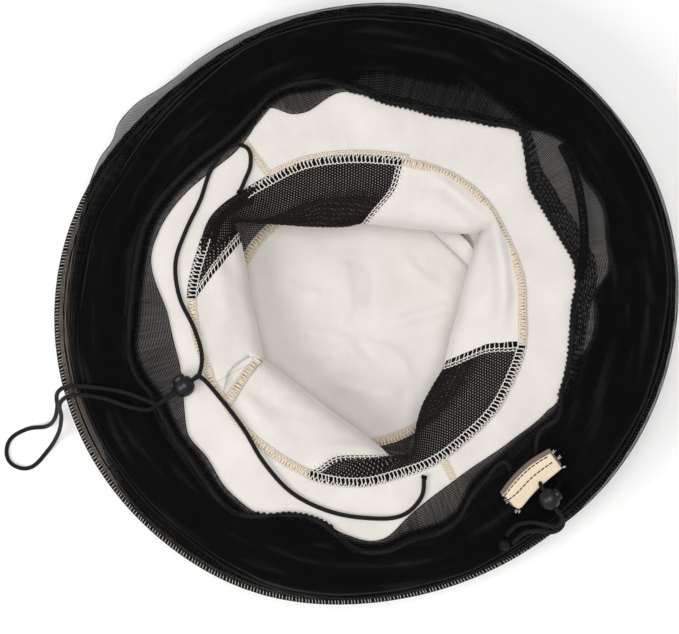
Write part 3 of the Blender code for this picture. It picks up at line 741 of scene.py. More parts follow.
def overlock(name, line, across, out, width, pitch, threads, band, legs, slot="thread_cream",
             edges=(-1, 1), dome=0.7, radius=0.26, **options):
    """Overlock stitching along a line: a soft band, slanted threads over it, and a chain down its edges.

    legs holds, for each thread of a stitch, how far along the stitch it starts and ends, in pitches, and,
    where it doesn't cross the whole seam, the half widths it runs between."""
    lengths = distances(line)
    count = max(int(lengths[-1] / pitch), 1)
    pitch = lengths[-1] / count

    def spot(stations, x, lift):
        """Points so far along the line and x half widths across it."""
        stations = np.clip(stations, 0, lengths[-1])
        centre, side, up = (np.stack([np.interp(stations, lengths, a[:, k]) for k in range(3)], -1)
                            for a in (line, across, out))
        return centre + side * (x * width / 2)[..., None] + up * (dome * (1 - x**2) + lift)[..., None]

    share = np.linspace(0, 1, 7)
    starts = np.arange(count) * pitch
    strands = []
    for n, (start, stop, *reach) in enumerate(legs):
        near, far = reach or (-1, 1)
        jitter = 0.22 * pitch * ripple(starts * 0.9, n * 3.0, 5.5 + n)
        lean = 0.30 * pitch * ripple(starts * 1.3, n * 5.0, 8.5 + n)
        along = (starts + jitter)[:, None] + pitch * (start + (stop - start) * share) + lean[:, None] * share
        wide = 1 + 0.10 * ripple(starts * 1.1, n * 2.0, 12.5 + n)
        strands.append(spot(along, (near + (far - near) * share) * wide[:, None], radius * (1 + 0.5 * n)))
    mesh = [tubes(np.concatenate(strands), radius)]
    run = np.linspace(0, lengths[-1], count * 4 + 1)
    for edge in edges:
        weave = edge * 0.92 + 0.11 * np.sin(run / pitch * TAU) + 0.06 * ripple(run * 0.7, edge * 3.0, 15.0)
        mesh.append(tubes(spot(run, weave, 0.35 + 0.15 * np.cos(run / pitch * TAU))[None], radius * 1.05))
    points, faces, cloth, shift = [], [], [], 0
    for part_points, part_faces, part_cloth in mesh:
        points.append(part_points)
        faces += [tuple(k + shift for k in face) for face in part_faces]
        cloth += part_cloth
        shift += len(part_points)
    piece(name + "_threads", np.concatenate(points), faces, cloth, threads, slot)

    x = np.linspace(-1, 1, 9)
    rows = np.linspace(0, lengths[-1], count * 2 + 1)
    top = spot(*np.broadcast_arrays(rows[:, None], x), -0.12)
    top[..., 2] += 0.10 * ripple(top[..., 0] / 1.3, top[..., 1] / 1.3, 2.2)
    solidify(grid(name, top, band, slot, **options), 0.5, -1.0)


def base_seam(start, stop, lift):
    """The crown's base seam between two angles: its line, outwards from it, and up from it."""
    angles = np.arange(start, stop + 0.01, 0.5)
    line = raised(wall_station(angles, 0), BRIM_Z + lift)
    return line, raised(unit(line[:, :2] - CROWN_CENTRE), 0.0), upwards(line)


def crown_overlocks():
    """The seam round the crown's base, and the four seams down its wall."""
    ladder = [(0.0, 0.5), (0.25, -0.35, -0.05, 1.0)]
    close = [(0.0, 0.35), (0.75, 0.35)]
    for name, start, stop in (("right", SEAM_RIGHT, SEAM_TOP), ("mesh_upper", SEAM_TOP, TUCK_START),
                              ("mesh_side", TUCK_STOP, SEAM_LEFT), ("left", SEAM_LEFT, SEAM_LOW),
                              ("mesh_lower", SEAM_LOW, SEAM_RIGHT + 360)):
        line, across, out = base_seam(start, stop, 0.3)
        line[:, 2] += 0.5 * ripple(line[:, 0] / 12, line[:, 1] / 12, 4.4)
        style = (4.6, 1.9, CREAM_THREAD, PAINTED_SHADE_OVERLOCK_GROUND, close)
        if "mesh" in name:
            style = (5.4, 2.35, WHITE_THREAD, BLACK_THREAD, ladder)
        overlock("crown_base_overlock_" + name, line, across, out, *style,
                 edges=(-1,) if name in ("mesh_upper", "mesh_side") else (-1, 1),
                 radius=0.33 if "mesh" in name else 0.36,
                 replaces=("crown_base_overlock",) if name == "right" else ())
    line, across, out = base_seam(SEAM_TOP - 1, 120.5, 0.5)
    overlock("crown_base_overlock_edge", line + across * 3.3, across, out, 1.9, 1.6, CREAM_THREAD,
             PAINTED_SHADE_OVERLOCK_GROUND, close, dome=0.4, radius=0.30)
    seams = [("right", SEAM_RIGHT, -1), ("top", SEAM_TOP, 1), ("left", SEAM_LEFT, -1), ("low", SEAM_LOW, 1)]
    for number, (name, angle, mesh_side) in enumerate(seams, 1):
        surface = wall_surface(np.array([angle - 0.6, angle, angle + 0.6]))
        along, out = sides_of(surface)
        overlock("wall_overlock_" + name, surface[1, 2:], along[1, 2:] * -mesh_side, out[1, 2:], 6.0, 2.7,
                 WHITE_THREAD, BLACK_THREAD, [(0.0, 0.5)], edges=(-1, -0.35), radius=0.29,
                 replaces=(f"wall_overlock_{number}",))


# ---------------------------------------------------------------- folds and tucks in the crown

POCKET_LIP = [(-59.0, -34.0), (-61.8, -31.8), (-67.4, -29.6), (-72.6, -33.1), (-77.9, -37.2), (-80.3, -43.0),
              (-82.0, -49.5)]
POCKET_SEAM = [(-62.5, -32.6), (-67.0, -38.2), (-71.5, -44.6), (-75.8, -51.2), (-79.6, -57.4)]


def settle(xy, surface, lift):
    """Lay places on a surface: each takes the mean height of the surface near it, and a little lift."""
    xy = np.asarray(xy, float)
    cloud = surface.reshape(-1, 3)
    weights = np.exp(-((xy[:, None] - cloud[None, :, :2]) ** 2).sum(-1) / (2 * 1.3**2))
    heights = (weights * cloud[:, 2]).sum(1) / weights.sum(1)
    return raised(xy, heights + lift)


def pocket(surface):
    """Press the left-hand wall in under its tuck, on the crown side of the lip."""
    away, side, along = distance_to(surface[..., 0], surface[..., 1], POCKET_LIP)
    inside = np.where(side > 0, np.exp(-((away / 7.0) ** 2)), 0.0) * (along > 0.02)
    outside = np.where(side <= 0, np.exp(-((away / 9.0) ** 2)), 0.0) * smooth_step(along, 0.0, 0.15)
    surface[..., 2] += (1.4 * outside - 3.8 * inside) * (1 - 0.7 * smooth_step(along, 0.8, 1.0))
    return surface


def rolled_lip(name, line, reach, lift, material, slot):
    """A turned edge of cloth along a line: its near side rolls under and its far side sinks away."""
    along = unit(line[-1, :2] - line[0, :2])
    out = np.array([[along[1], -along[0]]])
    profile = through([(0.8, -1.5), (-0.2, -0.9), (-0.35, 0.0), (0.3, 0.55), (2.0, 0.5), (reach * 0.6, 0.1),
                       (reach, -0.7)], 4)
    ends = np.sin(np.pi * np.linspace(0.04, 0.96, len(line))) ** 0.4
    ends = ends[:, None]
    flat = line[:, None, :2] + out[:, None] * (profile[:, 0] * ends)[..., None]
    points = raised(flat, line[:, 2:] + (lift + profile[:, 1]) * ends)
    solidify(grid(name, points, material, slot), 0.5)


def crown_tucks():
    """The left-hand pocket's lip and seam, and the flap and the mesh bulge above."""
    surface = pocket(wall_surface(np.linspace(SEAM_LEFT, SEAM_LOW, 130)))
    above = surface[:, :36]
    lip = settle(through(POCKET_LIP, 8)[4:], above, 1.2)
    rolled_lip("pocket_lip", lip, 9.0, 0.7, COTTON, "cotton")
    seam = settle(through(POCKET_SEAM, 8), above, 1.5)
    along = unit(np.gradient(seam, axis=0))
    across = np.cross(along, upwards(seam))
    overlock("pocket_overlock", seam, across, np.cross(across, along), 5.2, 2.0, CREAM_THREAD, PAINTED_SHADE_OVERLOCK_GROUND,
             [(0.0, 0.2), (0.6, 0.4)], dome=1.0, radius=0.38)

    edge = through([(36, 46.5, 22), (48, 36.5, 14), (57, 28, 12), (63.5, 21.0, 16)], 8)
    back = through([(50, 48.5, 26), (57, 42, 17), (63, 36.0, 15), (67, 29.0, 18)], 8)
    share = np.linspace(0, 1, 12)
    flap = edge[:, None] * (1 - share[:, None]) + back[:, None] * share[:, None]
    flap[..., 2] += 1.5 * np.sin(np.pi * share) - 2.0 * (1 - share) ** 6
    solidify(grid("crown_flap", flap, COTTON, "cotton"), 0.6)

    angles = np.linspace(TUCK_START - 5, TUCK_STOP + 5, 60)
    base, middle = wall_station(angles, 0), wall_station(angles, 1)
    outward = unit(base - CROWN_CENTRE)
    swell = np.sin(np.pi * np.linspace(0, 1, 60)) ** 0.6
    stops = [raised(base - 1.0 * outward, BRIM_Z + 0.8)]
    for reach, low, high in ((2.8, 1.0, 0.6), (3.2, 1.6, 1.6), (0.5, 1.8, 2.2)):
        stops.append(raised(base + reach * swell[:, None] * outward, BRIM_Z + low + high * swell))
    stops.append(raised(0.5 * base + 0.5 * middle, BRIM_Z - 0.6 + 1.6 * swell))
    stops.append(raised(middle, 45.0 + 0.5 * swell))
    points = np.moveaxis(through(stops, 5), 0, 1)
    x, y = points[..., 0], points[..., 1]
    points[..., 2] += 0.5 * ripple(x / 7, y / 7, 33.0, 2)
    solidify(grid("mesh_bulge", points, DOUBLE_MESH, "crown_mesh", cloth=draped(points)), 0.3)


# ---------------------------------------------------------------- crown, brim and binding

def draped(surface):
    """Cloth coordinates for the mesh: distance across, and distance along with every drop counted in."""
    middle = unit(surface[len(surface) // 2, 0, :2] - CROWN_CENTRE)
    flat = surface[..., :2] - CROWN_CENTRE
    across = flat @ np.array([-middle[1], middle[0]])
    along = flat @ middle
    step = np.diff(along, axis=1)
    drop = np.abs(np.diff(surface[..., 2], axis=1))
    reach = np.cumsum(np.concatenate([along[:, :1], step + np.sign(step) * drop], axis=1), axis=1)
    return np.stack([across, reach], -1)


def crown():
    """The four wall panels, the floor that is the crown's top, and the seam between them."""
    panels = [
        ("crown_wall_right_cloth", SEAM_RIGHT, SEAM_TOP, "crown_wall_cotton_right"),
        ("crown_wall_upper_mesh", SEAM_TOP, SEAM_LEFT, "crown_wall_mesh_upper"),
        ("crown_wall_left_cloth", SEAM_LEFT, SEAM_LOW, "crown_wall_cotton_left"),
        ("crown_wall_lower_mesh", SEAM_LOW, SEAM_RIGHT + 360, "crown_wall_mesh_lower"),
    ]
    for name, start, stop, node in panels:
        surface = wall_surface(np.linspace(start, stop, int((stop - start) * 1.6) + 1))
        if node == "crown_wall_cotton_left":
            surface = pocket(surface)
        if "cotton" in node:
            solidify(grid(name, surface, COTTON, "cotton", flip=True, replaces=(node,)), 0.6, -1.0)
            continue
        cloth = draped(surface)
        turn = 4 * WALL_ROWS
        for end, span, mesh, nodes in (("", slice(turn + 1), CROWN_MESH, (node,)),
                                       ("_under", slice(turn, None), BACK_MESH, ())):
            solidify(grid(name + end, surface[:, span], mesh, "crown_mesh", flip=True, cloth=cloth[:, span],
                          replaces=nodes), 0.25, -1.0)

    shares = np.linspace(0.0008, 1, 70)
    angles = np.arange(0, 360, 1.5)[:, None]
    floor = polar(angles, shares * top_seam(angles), 2.2, CROWN_CENTRE)
    x, y = floor[..., 0], floor[..., 1]
    floor[..., 2] += 1.4 * ripple(x / 34, y / 34, 12.7, 2) + 0.4 * ripple(x / 12, y / 12, 1.9, 2)
    floor[..., 2] += 1.8 * smooth_step(shares, 0.8, 1.0)
    for line, height, width in FLOOR_CREASES:
        ridge(floor, line, height, width)
    floor[..., 2] = np.maximum(floor[..., 2], 0.7)
    cloth = np.concatenate([floor, floor[:1]])[..., :2]
    made = grid("crown_top_cloth", floor, COTTON, "cotton", closed=True, flip=True, cloth=cloth,
                replaces=("crown_top",))
    solidify(made, 0.6, -1.0)

    angles = np.arange(0, 360.1, 1.0)
    line = polar(angles, top_seam(angles) - 2.0, 4.9, CROWN_CENTRE)
    overlock("crown_top_seam", line, polar(angles, 1.0, 0.0), upwards(line), 6.0, 2.0, CREAM_THREAD,
             PAINTED_SHADE_OVERLOCK_GROUND, [(0.0, 0.5), (0.8, 0.3)], radius=0.34, replaces=("crown_top_overlock",))


def brim_surface(degrees, shares):
    """The brim from the crown's base seam, share 0, out under the binding, share 1."""
    base = wall_station(degrees, 0)
    turned = np.degrees(np.arctan2(base[:, 1], base[:, 0]))
    outer = polar(turned, rim(turned) - 8.5, 0.0)[..., :2]
    xy = base[:, None] * (1 - shares[:, None]) + outer[:, None] * shares[:, None]
    x, y = xy[..., 0], xy[..., 1]
    free = np.sin(np.pi * shares) ** 0.6
    radius = np.hypot(x, y)
    turn = np.radians(degrees)[:, None]
    puckers = ripple(turn * 34 / 2, radius / 30, 6.1) * np.exp(-shares * 4.0) * 0.55
    z = BRIM_Z + free * (0.9 * ripple(x / 30, y / 30, 21.0, 2) + 0.25 * ripple(x / 9, y / 9, 8.0)) + puckers
    return np.stack([x, y, z], -1)


def brim():
    """The brim's two cotton halves and the seams that join them."""
    shares = np.linspace(0, 1, 44)
    halves = [("brim_right_cloth", BRIM_SEAM_LOW, BRIM_SEAM_TOP, "brim_panel_right"),
              ("brim_left_cloth", BRIM_SEAM_TOP, BRIM_SEAM_LOW + 360, "brim_panel_left")]
    for name, start, stop, node in halves:
        surface = brim_surface(np.linspace(start, stop, 300), shares)
        solidify(grid(name, surface, COTTON, "cotton", flip=True, replaces=(node,)), 0.8, -1.0)
    for side, angle in (("lower", BRIM_SEAM_LOW), ("upper", BRIM_SEAM_TOP)):
        surface = brim_surface(np.array([angle - 0.5, angle, angle + 0.5]), shares)
        along, out = sides_of(surface)
        overlock("brim_seam_" + side, surface[1, 1:-1], along[1, 1:-1], out[1, 1:-1], 4.2, 1.9,
                 CREAM_THREAD, BRIM_SEAM_PAINTED_SHADE_GROUND, [(0.0, 0.5), (0.8, 0.3)], dome=0.4, radius=0.26,
                 replaces=("brim_overlock_" + side,))


def binding():
    """The cream casing round the hoop, and the overlocked rim seam outside it."""
    angles = np.arange(0, 360, 0.75)
    edge = rim(angles)
    profile = [(2.4, 0.0), (2.6, 1.9), (3.6, 2.6), (6.0, 2.75), (9.0, 2.4), (12.5, 1.3), (14.2, 0.9),
               (14.2, -0.9), (12.0, -1.6), (7.0, -2.6), (3.6, -2.5), (2.5, -1.6), (2.4, 0.0)]
    turn = np.radians(angles)
    pucker = 0.18 * ripple(turn * 46, turn * 0, 3.3)
    points = [polar(angles, edge - inset, BRIM_Z + z * (1 + pucker)) for inset, z in through(profile, 3)]
    points = np.stack(points, 1)
    grid("brim_binding", points, BINDING, "brim_binding", closed=True, replaces=("hoop_casing",))

    angles = np.arange(0, 360.1, 0.5)
    for name, height, nodes in (("rim_seam", 1.2, ("rim_overlock",)), ("rim_seam_under", -1.2, ())):
        line = polar(angles, rim(angles) - 1.5, BRIM_Z + height)
        overlock(name, line, polar(angles, 1.0, 0.0), upwards(line) * np.sign(height), 2.7, 1.9, RIM_THREAD,
                 BLACK_THREAD, [(0.0, 0.35)], slot="thread_dark", edges=(), dome=0.8, radius=0.28,
                 replaces=nodes)
    stitch = polar(angles, rim(angles) - 5.4, BRIM_Z + 2.75)
    piece("binding_stitch", *tubes(stitch[None], 0.42), BLACK_THREAD, "thread_dark")


# ---------------------------------------------------------------- the veil

# The innermost edge of the net, as (degrees, radius)
INNER_EDGE = [
    (-177, 114), (-169, 112.5), (-162, 112.5), (-152, 118.5), (-148, 122.5), (-144, 126.5), (-136, 127),
    (-126, 133.5), (-116, 134), (-110, 127.5), (-100, 127.5),
    (-96, 132), (-85, 135.5), (-79, 126), (-61, 113.5),
    (-43, 115.5), (-28, 122.5), (-15, 120.5), (-9, 119), (0, 119),
    (6, 122), (10, 122.5), (18, 118.5), (29, 115.5),
    (36, 116.5), (44, 127), (48, 132.5), (55, 125), (62, 120), (70, 115), (77, 115), (85, 116), (91, 120.5),
    (97, 122.5), (108, 116), (111, 117.5), (116, 126), (124, 118.5), (128, 116), (141, 118), (148, 121.5),
    (160, 126), (167, 126.5),
]
# The edge inside which the net is one or two layers deep and can be seen through
DENSE_EDGE = [
    (-176, 129.5), (-170, 132.5), (-163, 132), (-155, 127),
    (-147, 128), (-136, 129), (-126, 135), (-116, 136),
    (-110, 130), (-100, 129.5), (-96, 133), (-85, 137), (-80, 133), (-75, 132.5), (-70, 132), (-65, 127.5),
    (-61, 120.5), (-57, 117), (-52, 115.8), (-46, 116), (-39, 117.5), (-30, 123), (-22, 125.5),
    (-16, 126.5), (-8, 132), (-2, 132), (3, 132), (7, 140), (15, 143.5), (23, 147.5),
    (30, 145), (39, 147), (45, 141), (54, 139), (60, 138.5), (66, 136), (74, 133),
    (82, 132), (87, 133), (90, 131), (94, 126.5), (105, 125.5),
    (110, 127.5), (115, 126), (121, 121), (128, 118),
    (141, 121), (148, 124), (160, 128.5), (169, 128), (176, 128),
]
# How far the outermost fold reaches past the rim
OVERHANG = [
    (-178, -7.5), (-165, -8.0), (-152, -9.5), (-146, -5.5),
    (-140, -3.4), (-124, -3.2), (-107, -3.2), (-98, -3.0),
    (-85, -3.0), (-70, -2.8), (-55, -1.5), (-40, 1.0), (-10, 1.5),
    (20, 1.5), (45, 1.0), (60, 2.0), (75, 2.0),
    (90, 1.5), (100, 1.5), (107, 2.5), (117, 4.0), (125, 4.5),
    (132, 4.5), (140, 8.0), (144, 7.0), (147, 3.5),
    (151, 3.0), (156, 0.0), (162, -4.0), (170, -7.0),
]
# How far inside the rim the deeper folds stop, which is where the net turns quite black
DEEP_FOLD = [
    (-175, 11.0), (-165, 9.5), (-150, 9.7), (-135, 10.2), (-124, 9.2),
    (-110, 5.5), (-98, 3.6), (-70, 3.4), (-50, 3.5),
    (-30, 3.0), (0, 2.5), (40, 3.0), (60, 5.0), (80, 6.0),
    (95, 5.0), (105, 3.5), (120, 4.0), (132, 6.0), (141, 9.0),
    (146, 11.0), (153, 13.0), (162, 11.5), (171, 13.5), (180, 12.5),
]
# 1 where the gathered hem is the innermost edge of the net, 0 where it is tucked in among the folds
HEM_SHOWN = [(-180, 0), (-122, 0), (-117, 1), (-98, 1), (-93, 0), (-30, 0), (-25, 1), (94, 1), (99, 0),
             (178, 0)]
# 1 where a single layer crosses the clear part, 0 where the first fold comes in as well
CLEAR = [(-180, 0), (-30, 0), (-24, 1), (44, 1), (50, 0), (178, 0)]
HEM_WIDTHS = [(-180, 6.5), (-40, 6.5), (-20, 8), (-8, 10), (8, 13), (22, 13), (34, 12), (42, 9), (50, 6.5),
              (178, 6.5)]
NET_CIRCUMFERENCE = 1100.0
VEIL_LOCK_ANGLE = -47.0

inner_edge = round_curve(INNER_EDGE)
dense_edge = round_curve(DENSE_EDGE)
overhang = round_curve(OVERHANG)
deep_fold = round_curve(DEEP_FOLD)


def around(table, degrees):
    """Straight-line reading of a table of (degrees, value) round the hat."""
    xs, ys = zip(*table)
    return np.interp(degrees, xs, ys, period=360)


def hem_place(degrees):
    """How far the hem is shown, from 0 to 1, and the radius of its inner edge."""
    shown = around(HEM_SHOWN, degrees)
    return shown, inner_edge(degrees) * shown + (dense_edge(degrees) + 4.0) * (1 - shown)


def turning_radii(degrees):
    """Radii at which the net turns back, from the rim seam inwards, then out and in again to the hem."""
    turn = np.radians(degrees)
    wander = [ripple(np.cos(turn) * 3.0 + n * 5, np.sin(turn) * 3.0, 30.0 + n, 2) for n in range(3)]
    shown, clear = around(HEM_SHOWN, degrees), around(CLEAR, degrees)
    edge = rim(degrees)
    inner, dense = inner_edge(degrees), dense_edge(degrees)
    outer = edge + overhang(degrees)
    second = edge - deep_fold(degrees) - 0.8 * wander[0]
    return [
        edge - 2.6,
        inner * (1 - clear) + (dense + 3.0) * clear + shown * (1 - clear),
        outer,
        dense,
        second,
        dense + 0.8 + 0.8 * wander[1],
        second - 1.5 - 1.5 * (1 + wander[2]),
        (dense + 1.8) * (1 - shown) + (inner + 0.9) * shown,
    ]


def net_height(degrees, radii, layer):
    """Height of one layer of the net: on the brim, over the casing, with the heap of folds above."""
    edge, dense = rim(degrees), dense_edge(degrees)
    under = BRIM_Z + 1.5 + 2.5 * smooth_step(radii, edge - 18, edge - 12)
    under -= 3.3 * smooth_step(radii, edge - 2, edge + 3)
    if layer == 0:
        under = under - 1.3 * smooth_step(radii, edge - 3.8, edge - 2.5)
    share = (radii - dense) / (edge - dense)
    heap = 0.12 + smooth_step(share, -0.05, 0.35) * (1 - 0.75 * smooth_step(share, 0.72, 1.05))
    turn = np.radians(degrees)
    folds = 0.9 * ripple(turn * 2.6 + radii / 60, radii / 7.5, 40.0, 2)
    folds += 0.5 * ripple(turn * 9.0, radii / 14, 44.0, 2)
    folds += 0.35 * ripple(turn * 5.0 - radii / 9, radii / 16, 47.0)
    lift = heap * (1.25 * layer * (1 + 0.16 * folds) + 0.9 * np.minimum(layer, 3) / 3 * folds)
    from_lock = (np.asarray(degrees) - VEIL_LOCK_ANGLE + 180) % 360 - 180
    pressed = 0.35 * smooth_step(radii, 138, 146) + 0.30 * smooth_step(radii, 148, 153)
    lift = lift * (1 - pressed * np.exp(-((from_lock / 8) ** 2)))
    pinch = ripple(turn * 17.0, radii / 40, 52.0)
    patches = smooth_step(ripple(turn * 3.0, radii / 25, 54.0), -0.1, 0.4)
    gathers = -1.1 * np.exp(-((pinch / 0.10) ** 2)) * patches
    own = 0.18 * ripple(turn * 14, radii / 9, 60.0 + layer)
    own += 0.08 * ripple(turn * 60, radii / 4, 80.0 + layer)
    return under + 0.12 * layer + lift + own * (0.4 + heap) + gathers * heap * min(layer, 4) / 4


def veil():
    """The net itself: one continuous sheet, folded seven times between the rim seam and its hem."""
    degrees = np.arange(0, 360, 360 / 840)
    turns = turning_radii(degrees)
    columns = []
    even = (np.arange(11) + 0.5) / 11
    from_rim = np.concatenate([[0.0, 0.02, 0.045, 0.075, 0.11, 0.16], np.linspace(0.23, 0.95, 8)])
    for layer in range(len(turns) - 1):
        for share in (even if layer else from_rim):
            radii = turns[layer] * (1 - share) + turns[layer + 1] * share
            columns.append(polar(degrees, radii, net_height(degrees, radii, layer)))
        if layer < len(turns) - 2:
            radii = turns[layer + 1]
            between = (net_height(degrees, radii, layer) + net_height(degrees, radii, layer + 1)) / 2
            columns.append(polar(degrees, radii, between))
    points = np.stack(columns, 1)
    along = np.append(degrees, 360.0) * NET_CIRCUMFERENCE / 360
    radii = np.hypot(points[..., 0], points[..., 1])
    away = np.concatenate([radii, radii[:1]])
    cloth = np.stack(np.broadcast_arrays(along[:, None], away), -1)
    return grid("veil_net_folded", points, VEIL_NET, "veil_net", closed=True, cloth=cloth,
                replaces=("veil_net",))


def hem():
    """The gathered casing at the net's free edge, round the drawcord."""
    degrees = np.arange(-36.5, 313.5, 0.2)
    shown, inner = hem_place(degrees)
    arc = np.radians(degrees) * 122
    phase = arc * TAU / 3.1 + 2.6 * ripple(arc / 11, arc * 0, 70.0)
    ruffle = np.sin(phase) * (0.55 + 0.45 * ripple(arc / 16, arc * 0, 74.0))
    profile = [(2.6, 0.1), (0.6, 0.2), (0.0, 0.5), (0.25, 1.3), (1.4, 2.3), (2.8, 2.0), (3.6, 1.0),
               (4.6, 1.5), (5.6, 1.1), (6.5, 0.6)]
    stretch = (around(HEM_WIDTHS, degrees) - 2.8) / 3.7
    columns = []
    for across, height in through(profile, 4):
        flare = smooth_step(abs(across - 2.6), 0.4, 3.5)
        if across > 2.8:
            across = 2.8 + (across - 2.8) * stretch
        ripple_in = 0.75 * ruffle * smooth_step(1.9 - across, 0.0, 1.2)
        base = net_height(degrees, inner + across, 0) + 0.3 + (1 - shown) * 4.0
        tall = height * (1 + 0.45 * ruffle * flare)
        columns.append(polar(degrees, inner + across + ripple_in, base + tall))
    grid("veil_hem", np.stack(columns, 1), HEM_NET, "veil_net", replaces=("veil_hem_casing",))


def fold_edges():
    """Where the net turns back on itself it is doubled into a thin dark edge."""
    degrees = np.arange(0, 360.1, 0.5)
    turns = turning_radii(degrees)
    strands = [polar(degrees, turns[n] + inward, net_height(degrees, turns[n], n - 0.5) + 0.1)
               for n, inward in ((1, 0.15), (2, -0.15), (4, -0.15))]
    piece("veil_fold_edges", *tubes(strands, 0.22), BLACK_THREAD, "thread_dark")


def side_seam():
    """The seam that joins the net's two ends, seen where it crosses the clear part at the right."""
    route = through([(113.0, 92.0, 0), (119.5, 79.0, 0), (123.0, 67.0, 0), (125.5, 52.0, 0),
                     (126.5, 36.0, 0), (125.5, 24.0, 0), (122.5, 14.0, 0)], 10)
    angles = np.degrees(np.arctan2(route[:, 1], route[:, 0]))
    route[:, 2] = net_height(angles, np.hypot(route[:, 0], route[:, 1]), 6) + 0.5
    up = upwards(route)
    overlock("veil_side_seam", route, np.cross(unit(np.gradient(route, axis=0)), up), up, 4.6, 1.7,
             BLACK_THREAD, HEM_NET, [(0.0, 0.15), (0.6, 0.5)], slot="thread_dark", dome=0.5, radius=0.3)


# ---------------------------------------------------------------- drawcord, cord locks and tab

def drawcord():
    """The hem's drawcord: out of its knot, through the lock, round the hem and back again."""
    tail_low = [(84.0, -136.6, 62.2), (91.5, -130.5, 62.2), (99.5, -129.6, 62.2)]
    tail_low += [(107.5, -130.4, 61.8), (112.6, -126.5, 63.2)]
    tail_low += [on_lock(VEIL_LOCK, along, -1) for along in (12.5, 7.0, -7.0, -9.0)]
    tail_low += [(96.5, -101.4, 62.5), (90.5, -102.6, 61.8), (85.2, -102.6, 57.0)]
    tail_high = [(98.0, -86.6, 57.0), (98.8, -94.5, 62.6), (98.9, -99.0, 64.0)]
    tail_high += [on_lock(VEIL_LOCK, along, 1) for along in (-9.0, -7.0, 7.0, 12.5)]
    tail_high += [(109.2, -126.2, 66.6), (103.0, -125.9, 65.6), (95.5, -124.6, 63.4)]
    tail_high += [(86.5, -126.5, 62.2), (80.4, -132.6, 62.4)]
    degrees = np.arange(-48.5, -396.6, -6.0)
    shown, inner = hem_place(degrees)
    heights = net_height(degrees, inner + 3, 0) + 1.4 + (1 - shown) * 4.0
    ring = [tuple(p) for p in polar(degrees, inner + 1.9, heights)]
    braided_cord("drawcord", smooth_path(tail_low + ring + tail_high, 5), replaces=("veil_drawcord",))


def lathe(name, profile, segments, place, node):
    """A moulded piece turned from a closed profile of (radius, height) round a lock's button axis."""
    turn = np.arange(segments) * TAU / segments
    rings = [np.stack([radius * np.cos(turn), radius * np.sin(turn), np.full(segments, height)], -1)
             for radius, height in profile]
    points = np.stack(rings, 1)
    rows, columns = points.shape[:2]
    faces = lattice(rows, columns, True)[0].tolist()
    faces.append([row * columns for row in range(rows)][::-1])
    faces.append([row * columns + columns - 1 for row in range(rows)])
    mesh = bpy.data.meshes.new(name)
    mesh.from_pydata((points.reshape(-1, 3) * MM).tolist(), [], faces)
    work = bmesh.new()
    work.from_mesh(mesh)
    bmesh.ops.recalc_face_normals(work, faces=work.faces)
    work.to_mesh(mesh)
    work.free()
    mesh.transform(place)
    mesh.materials.append(PLASTIC)
    made = bpy.data.objects.new(name, mesh)
    bpy.context.scene.collection.objects.link(made)
    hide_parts(node)
    return made


def bore(made, place, size, centre, roundness):
    """Cut a round-ended hole through a lathe piece, along its lock's X."""
    cutter_mesh = bpy.data.meshes.new("cutter")
    work = bmesh.new()
    bmesh.ops.create_cube(work, size=1.0)
    bmesh.ops.scale(work, vec=Vector(size) * MM, verts=work.verts)
    bmesh.ops.translate(work, vec=Vector(centre) * MM, verts=work.verts)
    long_edges = [e for e in work.edges if abs((e.verts[0].co - e.verts[1].co).x) > size[0] * MM * 0.9]
    bmesh.ops.bevel(work, geom=long_edges, offset=roundness * MM, segments=6, affect="EDGES", profile=0.5)
    work.to_mesh(cutter_mesh)
    work.free()
    cutter = bpy.data.objects.new("cutter", cutter_mesh)
    cutter.data.transform(place)
    bpy.context.scene.collection.objects.link(cutter)
    cut = made.modifiers.new("hole", "BOOLEAN")
    cut.operation = "DIFFERENCE"
    cut.object = cutter
    bevel = made.modifiers.new("edges", "BEVEL")
    bevel.width = 0.25 * MM
    bevel.segments = 2
    bevel.limit_method = "ANGLE"
    bevel.angle_limit = math.radians(40)
    depsgraph = bpy.context.evaluated_depsgraph_get()
    finished = bpy.data.meshes.new_from_object(made.evaluated_get(depsgraph))
    made.modifiers.clear()
    made.data = finished
    bpy.data.objects.remove(cutter)
    made.data.shade_smooth()
    made.data.set_sharp_from_angle(angle=math.radians(50))


def cord_lock(prefix, lock):
    """Ball cord lock: a moulded ball with a well, and a sprung button in it; the cords pass through both."""
    joined = prefix.replace("_lock", "_button")
    local = lock_frame(lock)
    place = local.copy()
    place.translation = place.translation * MM
    radius = 6.3
    tilts = [math.radians(-77 + 8.4 * step) for step in range(15)]
    shell = [(radius * math.cos(tilt), radius * math.sin(tilt)) for tilt in tilts]
    well = [(4.15, 4.25), (4.0, 3.9), (4.0, -4.2), (2.6, -4.25), (2.6, -5.1)]
    ball = lathe(prefix + "_ball", shell + well, 64, place, prefix + "_body")
    bore(ball, place, (20, 5.4, 4.0), (0, 0, -0.5), 1.6)
    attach(ball, prefix)
    stem = [(0.8, 6.6), (1.6, 6.7), (2.2, 7.05), (3.0, 6.95), (3.55, 6.5), (3.75, 5.8), (3.78, 4.0),
            (3.8, -2.4), (3.5, -2.65)]
    plunger = lathe(prefix + "_plunger", stem, 48, place, prefix + "_button")
    bore(plunger, place, (20, 5.5, 5.1), (0, 0, 1.05), 1.6)
    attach(plunger, joined)

    share = np.linspace(0, 1, 61)
    turn = 2.5 * TAU * share
    heights = SPRING_FOOT + 0.2 + SPRING_LENGTH * share
    coil = [tuple(local @ Vector(p)) for p in zip(1.9 * np.cos(turn), 1.9 * np.sin(turn), heights)]
    spring = piece(prefix + "_coil", *tubes([coil], 0.2, sides=8), STEEL, "spring_steel",
                   replaces=(prefix + "_spring",), body=prefix)
    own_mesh(spring)


